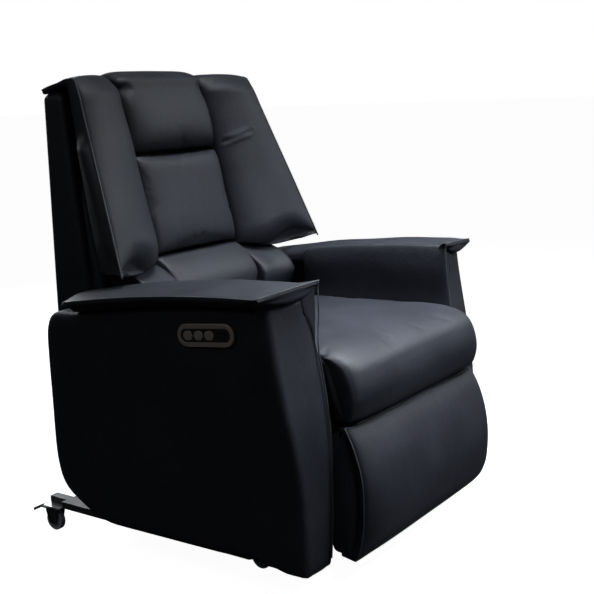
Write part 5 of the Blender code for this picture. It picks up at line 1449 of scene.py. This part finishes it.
@dataclass
class BackRest:
    """The back: rear shell with side bolsters, and the centre, headrest and lumbar cushions."""

    kit: Kit
    groove_low: float = 0.224
    groove_slope: float = 0.262
    frame_low: float = 0.230
    frame_slope: float = 0.194
    frame_half: float = 0.0118
    centre_half: float = 0.155
    centre_crown: float = 0.026
    mid_low: float = 0.643
    mid_high: float = 0.8785
    head_high: float = 1.080
    head_crown: float = 0.040
    side_x: float = 0.2155
    side_half: float = 0.0575
    shell_half: float = 0.285
    bolster_x: float = 0.258
    bolster_half: float = 0.0475

    def groove(self, z: Array | float) -> Array:
        """The line of the sewn grooves: straight, and further back each metre up."""
        return self.groove_low + self.groove_slope * (z - 0.640)

    def frame_y(self, z: Array | float) -> Array:
        """The middle of the back's frame."""
        return self.frame_low + self.frame_slope * (z - 0.400)

    def rear(self, z: Array | float) -> Array:
        """Where the cushions seat on the frame."""
        return self.frame_y(z) - self.frame_half

    def closed(self, front: Array, z: Array, inset: float) -> Array:
        """A section's front, closed by a straight rear on the frame.

        Args:
            front: The front line's y, from its foot up.
            z: Its heights.
            inset: How far inside the front's ends the rear ends.

        Returns:
            The (y, z) loop.
        """
        heights = np.linspace(z[-1] - inset, z[0] + inset, 50)
        return np.vstack((strand(front, z), strand(self.rear(heights), heights)))

    def middle_loop(self, puff: float) -> Array:
        """The middle cushion's section: a crowned front between two seams.

        Args:
            puff: How full this section is.

        Returns:
            The (y, z) loop.
        """
        share = np.linspace(-1.0, 1.0, 90)
        share = np.sign(share) * (1.0 - (1.0 - np.abs(share)) ** 1.6)
        z = (self.mid_low + self.mid_high) / 2 + (self.mid_high - self.mid_low) / 2 * share
        powers = np.where(share < 0.0, 4.0, 8.0)
        crown = self.centre_crown * puff * (1.0 - np.abs(share) ** powers) ** 0.5
        return self.closed(self.groove(z) - crown, z, 0.0002)

    def middle(self) -> None:
        """The middle cushion, fullest at its heart."""
        edge, full = self.middle_loop(0.0), self.middle_loop(1.0)
        rings = stuffed_bar(edge, full, self.centre_half, 120, 7.0)
        depth = rings[..., 1] - self.groove_slope * (rings[..., 2] - 0.76)
        rings[..., 1] += ripple(rings, 0.12, 3) * 0.0011 * smooth_step(0.27, 0.25, depth)
        self.kit.add("middle_cushion_cover", [Skin(rings)], Body.BACK, "mid_cushion", 0.85,
                     Stuffing(0.005))

    def head_loop(self, puff: float) -> Array:
        """The headrest's section: from its lower seam up the front, over its round top and down
        behind.

        Args:
            puff: How full this section is.

        Returns:
            The (y, z) loop.
        """
        low = self.mid_high + 0.003
        share = np.linspace(0.0, 0.82, 24) ** 1.25
        z = low + (self.head_high - low) * share
        under = np.sqrt(1.0 - (1.0 - np.minimum(share / 0.36, 1.0)) ** 2)
        over = 1.0 - 0.75 * np.maximum((share - 0.36) / 0.64, 0.0) ** 2
        front = strand(self.groove(z) - self.head_crown * under * over * puff, z)
        drop = 0.020 * 0.65 * (1.0 - puff)
        crown = np.array(((0.318 - 0.008 * puff, 1.061), (0.338, 1.0745), (0.362, 1.0785),
                          (0.384, 1.073), (0.397, 1.058), (0.400, 1.040 + drop * 0.5)))
        curve = curve_through(np.vstack((front, crown - (0.0, drop))), 150)
        corners = ((0.400, 1.036), (self.rear(1.036), 1.035), (self.rear(low), low))
        behind = along(np.array(corners), 60)
        return np.vstack((curve, behind[1:]))

    def head(self) -> None:
        """The headrest cushion."""
        rings = stuffed_bar(self.head_loop(0.0), self.head_loop(1.0), self.centre_half, 120, 7.0)
        rings[..., 1] += ripple(rings, 0.12, 4) * 0.0010
        self.kit.add("headrest_cover", [Skin(rings)], Body.BACK, "headrest_cushion", 0.85,
                     Stuffing(0.0025))

    def lumbar_loop(self, low: float, high: float, face: float, puff: float) -> Array:
        """A lumbar piece's section: fullest a little below its top, drawn in behind the seat.

        Args:
            low: Its lower edge's height.
            high: Its upper edge's height.
            face: How far back its fullest part stands.
            puff: How full this section is.

        Returns:
            The (y, z) loop.
        """
        groove = self.groove(high)
        full = high - (high - low) * 0.42
        z = np.linspace(low, high, 90)
        rise = np.clip((z - full) / (high - full), 0.0, 1.0)
        fall = np.clip((full - z) / (full - 0.497), 0.0, 1.0)
        front = face + (groove - face) * rise**2.2 + (max(face, 0.144) - face) * fall**1.5
        drawn = np.minimum(front + 0.020, np.maximum(front, groove - 0.035))
        return self.closed(drawn + (front - drawn) * puff, z, 0.0004)

    def lumbar(self) -> None:
        """The lumbar row: a centre piece whose top edge arches, and a bolster on each side."""
        edge = self.lumbar_loop(0.430, 0.637, 0.150, 0.45)
        full = self.lumbar_loop(0.430, 0.640, 0.147, 1.0)
        rings = stuffed_bar(edge, full, self.centre_half, 100, 9.0)
        self.kit.add("lumbar_cover", [Skin(rings)], Body.BACK, "lumbar_cushion", 0.85,
                     Stuffing(0.004))
        edge = self.lumbar_loop(0.446, 0.621, 0.134, 0.60)
        full = self.lumbar_loop(0.446, 0.623, 0.130, 1.0)
        rings = stuffed_bar(edge, full, self.side_half, 70, 9.0) + (self.side_x, 0.0, 0.0)
        outer = smooth_step(0.20, 0.273, rings[..., 0]) * smooth_step(0.24, 0.17, rings[..., 1])
        rings[..., 1] -= 0.014 * outer * smooth_step(0.50, 0.56, rings[..., 2])
        for side in Side:
            self.kit.cover("lumbar_side_cover", rings, side, Body.BACK, "lumbar_side", 0.85)

    def shell_rear(self, z: Array | float) -> Array:
        """The rear panel's line: 0.424 m at its foot, 0.410 m at its top."""
        return 0.424 - 0.014 * (z - 0.380) / 0.652

    def shell(self) -> None:
        """The rear shell with a flat-crowned panel and a thick bolster down each side."""
        foot = 0.381 + 0.012 * (1 - np.cos(np.linspace(0.2, 1.5, 6)))
        crown = 1.030 - 0.015 * (1 - np.sin(np.linspace(0.2, 1.5, 8)))
        rings = []
        for z in np.sort((*foot, *np.linspace(0.40, 1.012, 50), *crown)):
            draw = 0.010 * (smooth_step(0.398, 0.381, z) + smooth_step(1.012, 1.032, z))
            front = max(self.frame_y(z) + self.frame_half, 0.262 if z < 0.44 else 0.0)
            rear, half = self.shell_rear(z) - draw, self.shell_half - draw
            corners = ((-half, front, 0.012), (half, front, 0.012), (half, rear - 0.004, 0.03),
                       (0.16, rear, 0.1), (-0.16, rear, 0.1), (-half, rear - 0.004, 0.03))
            rings.append(strand(*corner_path(corners, 150).T, z))
        bolsters = [Skin(on_side(self.bolster(), side)) for side in Side]
        self.kit.add("back_shell_cover", [Skin(np.array(rings)), *bolsters], Body.BACK,
                     "back_shell", 0.8)

    def bolster(self) -> Array:
        """The left bolster: level sections between oval and box, drawn in round at both ends."""
        low, high, squareness = 0.437, 1.013, 0.36
        foot = 0.392 + 0.045 * (1 - np.sin(np.linspace(0.12, 1.5, 12)))
        crown = high + 0.0205 * np.sin(np.linspace(0.05, 1.45, 12))
        z = np.sort((*foot, *np.linspace(0.44, 1.012, 48), *crown))[:, None]
        low_end = 1 - ((low - np.minimum(z, low)) / 0.0455) ** 2
        top_end = 1 - ((np.maximum(z, high) - high) / 0.0210) ** 2.2
        draw = np.sqrt(np.clip(np.minimum(low_end, top_end), 0.01, 1))
        front = np.maximum(0.304 + (z - 0.602) * 0.0993, 0.285)
        rear = self.shell_rear(z) + 0.001
        turn = np.linspace(0.0, 2 * math.pi, 72, endpoint=False)
        across, behind = (np.sign(wave) * np.abs(wave) ** squareness
                          for wave in (np.cos(turn), np.sin(turn)))
        x = self.bolster_x + self.bolster_half * across * (0.35 + 0.65 * draw)
        y = (front + rear) / 2 + (rear - front) / 2 * (0.15 + 0.85 * draw) * behind
        return np.stack((x, y, np.broadcast_to(z, x.shape)), axis=-1)

    def build(self) -> None:
        """The whole back without its wings."""
        self.middle()
        self.head()
        self.lumbar()
        self.shell()


@dataclass
class Wing:
    """One wing of the back: a stuffed face from the groove out to a piped seam, which turns over
    the top as a thin roof to the rear, and a gusset behind it.

    The groove and the inner line lie level with the centre cushions' sides, so their knots are
    (y, z); the others' are (x, y, z). All run from the foot over the top to the rear edge.
    """

    kit: Kit
    side: Side
    inner_x: float = 0.158
    width: float = 0.221
    swell: float = 0.038
    foot_z: float = 0.6300
    foot_arch: float = 0.030
    foot_round: float = 0.042
    foot_drop: float = 0.0150
    stations: int = 170

    groove_knots: tuple[tuple[float, float], ...] = (
        (0.223, 0.636), (0.2275, 0.655), (0.236, 0.690), (0.263, 0.790), (0.292, 0.900),
        (0.316, 0.990), (0.329, 1.036), (0.341, 1.055), (0.362, 1.061), (0.385, 1.056),
        (0.404, 1.047), (0.411, 1.040))
    seam_knots: tuple[Point, ...] = (
        (0.379, 0.117, 0.630), (0.3762, 0.1245, 0.650), (0.371, 0.138, 0.684),
        (0.3555, 0.178, 0.786), (0.339, 0.221, 0.893), (0.326, 0.255, 0.978),
        (0.3170, 0.279, 1.036), (0.3125, 0.292, 1.0565), (0.3090, 0.318, 1.0590),
        (0.3060, 0.352, 1.0510), (0.3030, 0.392, 1.0425), (0.3015, 0.410, 1.0375))
    outer_knots: tuple[Point, ...] = (
        (0.312, 0.252, 0.632), (0.311, 0.256, 0.650), (0.311, 0.263, 0.690),
        (0.310, 0.279, 0.790), (0.310, 0.296, 0.900), (0.310, 0.309, 0.985),
        (0.309, 0.316, 1.030), (0.3080, 0.321, 1.0400), (0.3065, 0.332, 1.0450),
        (0.3050, 0.356, 1.0420), (0.3020, 0.390, 1.0340), (0.3005, 0.407, 1.0280))
    inner_knots: tuple[tuple[float, float], ...] = (
        (0.263, 0.636), (0.267, 0.655), (0.274, 0.690), (0.293, 0.790), (0.314, 0.900),
        (0.331, 0.987), (0.341, 1.030), (0.346, 1.042), (0.364, 1.047), (0.385, 1.043),
        (0.402, 1.035), (0.408, 1.029))

    def guides(self) -> list[Array]:
        """The four lines that the wing runs along, at stations shared by all."""
        groove, inner = (np.insert(line, 0, self.inner_x, axis=1)
                         for line in (self.groove_knots, self.inner_knots))
        reach = travel(np.array(self.seam_knots))
        places = np.linspace(0.0, reach[-1], self.stations)
        return [np.column_stack([table(list(zip(reach, column)))(places) for column in zip(*line)])
                for line in (groove, self.seam_knots, self.outer_knots, inner)]

    def swelling(self, share: Array, height: Array, travelled: Array) -> Array:
        """How far the face stands out: a roll across the width, hollow under its lower outer part
        and thin over the roof.

        Args:
            share: Places across the face, 0 at the groove and 1 at the seam.
            height: The height of the flat face there.
            travelled: The share of the way along the wing.

        Returns:
            The height of the stuffing in metres.
        """
        roll = (1.0 - np.abs(2.0 * share - 1.0) ** 2.3) ** 0.62 * (1.10 - 0.34 * share)
        start = self.foot_z + self.foot_arch * bump(share, 0.70, 0.30)
        under = np.clip((height - start) / self.foot_round, 0.0, 1.0)
        foot = np.sqrt(1.0 - (1.0 - under) ** 2)
        roof = 1.0 - 0.76 * smooth_step(0.70, 0.83, travelled)
        hollow = 0.012 * bump(share, 0.70, 0.22) * bump(height, 0.640, 0.014)
        return self.swell * roll * foot * roof - hollow

    def face(self, groove: Array, seam: Array) -> Array:
        """The stuffed face: the flat one between two lines, swollen along its normal.

        Args:
            groove: The inner line.
            seam: The outer line.

        Returns:
            The face's rings, from the wing's foot to its rear edge.
        """
        share = np.linspace(0.0, 1.0, 56)
        flat = groove[:, None] + (seam - groove)[:, None] * share[:, None]
        out = np.cross(np.gradient(flat[:, 28], axis=0), seam - groove)
        out /= np.linalg.norm(out, axis=1, keepdims=True)
        out *= np.sign(out[:, 2:] - out[:, 1:2])
        travelled = np.linspace(0.0, 1.0, self.stations)[:, None]
        end = 1.0 - ((travelled - 0.97) / 0.03).clip(0.0, 1.0) ** 2
        lift = self.swelling(share, flat[..., 2], travelled) * np.sqrt(end.clip(0.05, 1.0))
        return flat + out[:, None] * lift[..., None]

    def walls(self, seam: Array, outer: Array, inner: Array, groove: Array) -> list[Array]:
        """The gusset behind the seam, which bulges outwards, the back, and the way home to the
        groove.

        Args:
            seam: The piped line.
            outer: The gusset's rear edge.
            inner: The back's inner edge.
            groove: The line where the face starts.

        Returns:
            The three walls' rings, with the face's stations.
        """
        lines = ((seam, outer, np.linspace(0.0, 1.0, 24)[1:]),
                 (outer, inner, np.linspace(0.0, 1.0, 18)[1:]),
                 (inner, groove, np.linspace(0.0, 1.0, 8)[1:-1]))
        made = [start[:, None] + (end - start)[:, None] * share[:, None]
                for start, end, share in lines]
        z = seam[:, 2:]
        bulge = 0.003 + 0.017 * smooth_step(0.938, 0.895, z) * smooth_step(0.630, 0.700, z)
        made[0][..., 0] += bulge * np.sin(np.pi * lines[0][2]) ** 0.8
        return made

    def build(self) -> None:
        """The wing and its piping."""
        groove, seam, outer, inner = self.guides()
        rings = np.concatenate((self.face(groove, seam), *self.walls(seam, outer, inner, groove)),
                               axis=1)
        across = (rings[..., 0] - self.inner_x) / self.width
        foot = smooth_step(0.700, 0.636, rings[..., 2])
        rings[..., 2] -= self.foot_drop * foot * bump(across, 0.40, 0.34)
        tip = smooth_step(0.655, 0.632, rings[..., 2]) * smooth_step(0.80, 1.0, across)
        rings[..., 2] += 0.0060 * tip
        rings += ripple(rings, 0.15, 41 + self.side.value)[..., None] * (0.0006, 0.0012, 0.0)
        if self.side is Side.LEFT:
            rings = crease(rings, (0.168, 0.262, 0.893), (0.246, 0.232, 0.917),
                           (0.002, 0.0095, 0.0), 0.0062)
        first = rings[:1].mean(axis=1, keepdims=True) * 0.5 + rings[:1] * 0.5
        last = rings[-1:].mean(axis=1, keepdims=True) * 0.3 + rings[-1:] * 0.7
        rings = np.concatenate((first + (0.0, 0.0, 0.003), rings, last + (0.0, 0.002, 0.0)))
        self.kit.cover("wing_cover", rings, self.side, Body.BACK, "wing", 0.8)
        path = along(seam + (0.0008, -0.0004, 0.0004), 260)
        self.kit.cord("wing_piping", path, self.side, Body.BACK, 0.0021)


@dataclass
class Hardware:
    """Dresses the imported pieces: steelwork, casters, motors, boards and the control panel."""

    kit: Kit

    def coat_of(self, name: str, packed: str) -> Coat:
        """A node's finish, found by its packed material, which is named after its slot.

        Args:
            name: The node's name.
            packed: Its packed material's name.

        Returns:
            The finish; a slot without one is painted steel.
        """
        if name == "control_bezel":
            return Coat.FACEPLATE
        named = (coat for coat in Coat if packed.startswith(coat.name.lower()))
        return next(named, Coat.DARK_STEEL)

    def build(self) -> None:
        """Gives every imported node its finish."""
        for name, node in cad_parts.items():
            for place in node.material_slots:
                packed = place.material.name if place.material else ""
                place.material = self.kit.coats[self.coat_of(name, packed)]
                LOG.info("%s dressed in %s", name, place.material.name)


def main() -> None:
    """Builds every sub-assembly in order."""
    logging.basicConfig(level=logging.INFO, format="%(name)s: %(message)s")
    kit = Kit()
    Hardware(kit).build()
    for side in Side:
        ArmRest(kit, side).build()
    Seat(kit).build()
    FootRest(kit).build()
    BackRest(kit).build()
    for side in Side:
        Wing(kit, side).build()
    Studio().build()


if __name__ == "__main__":
    main()
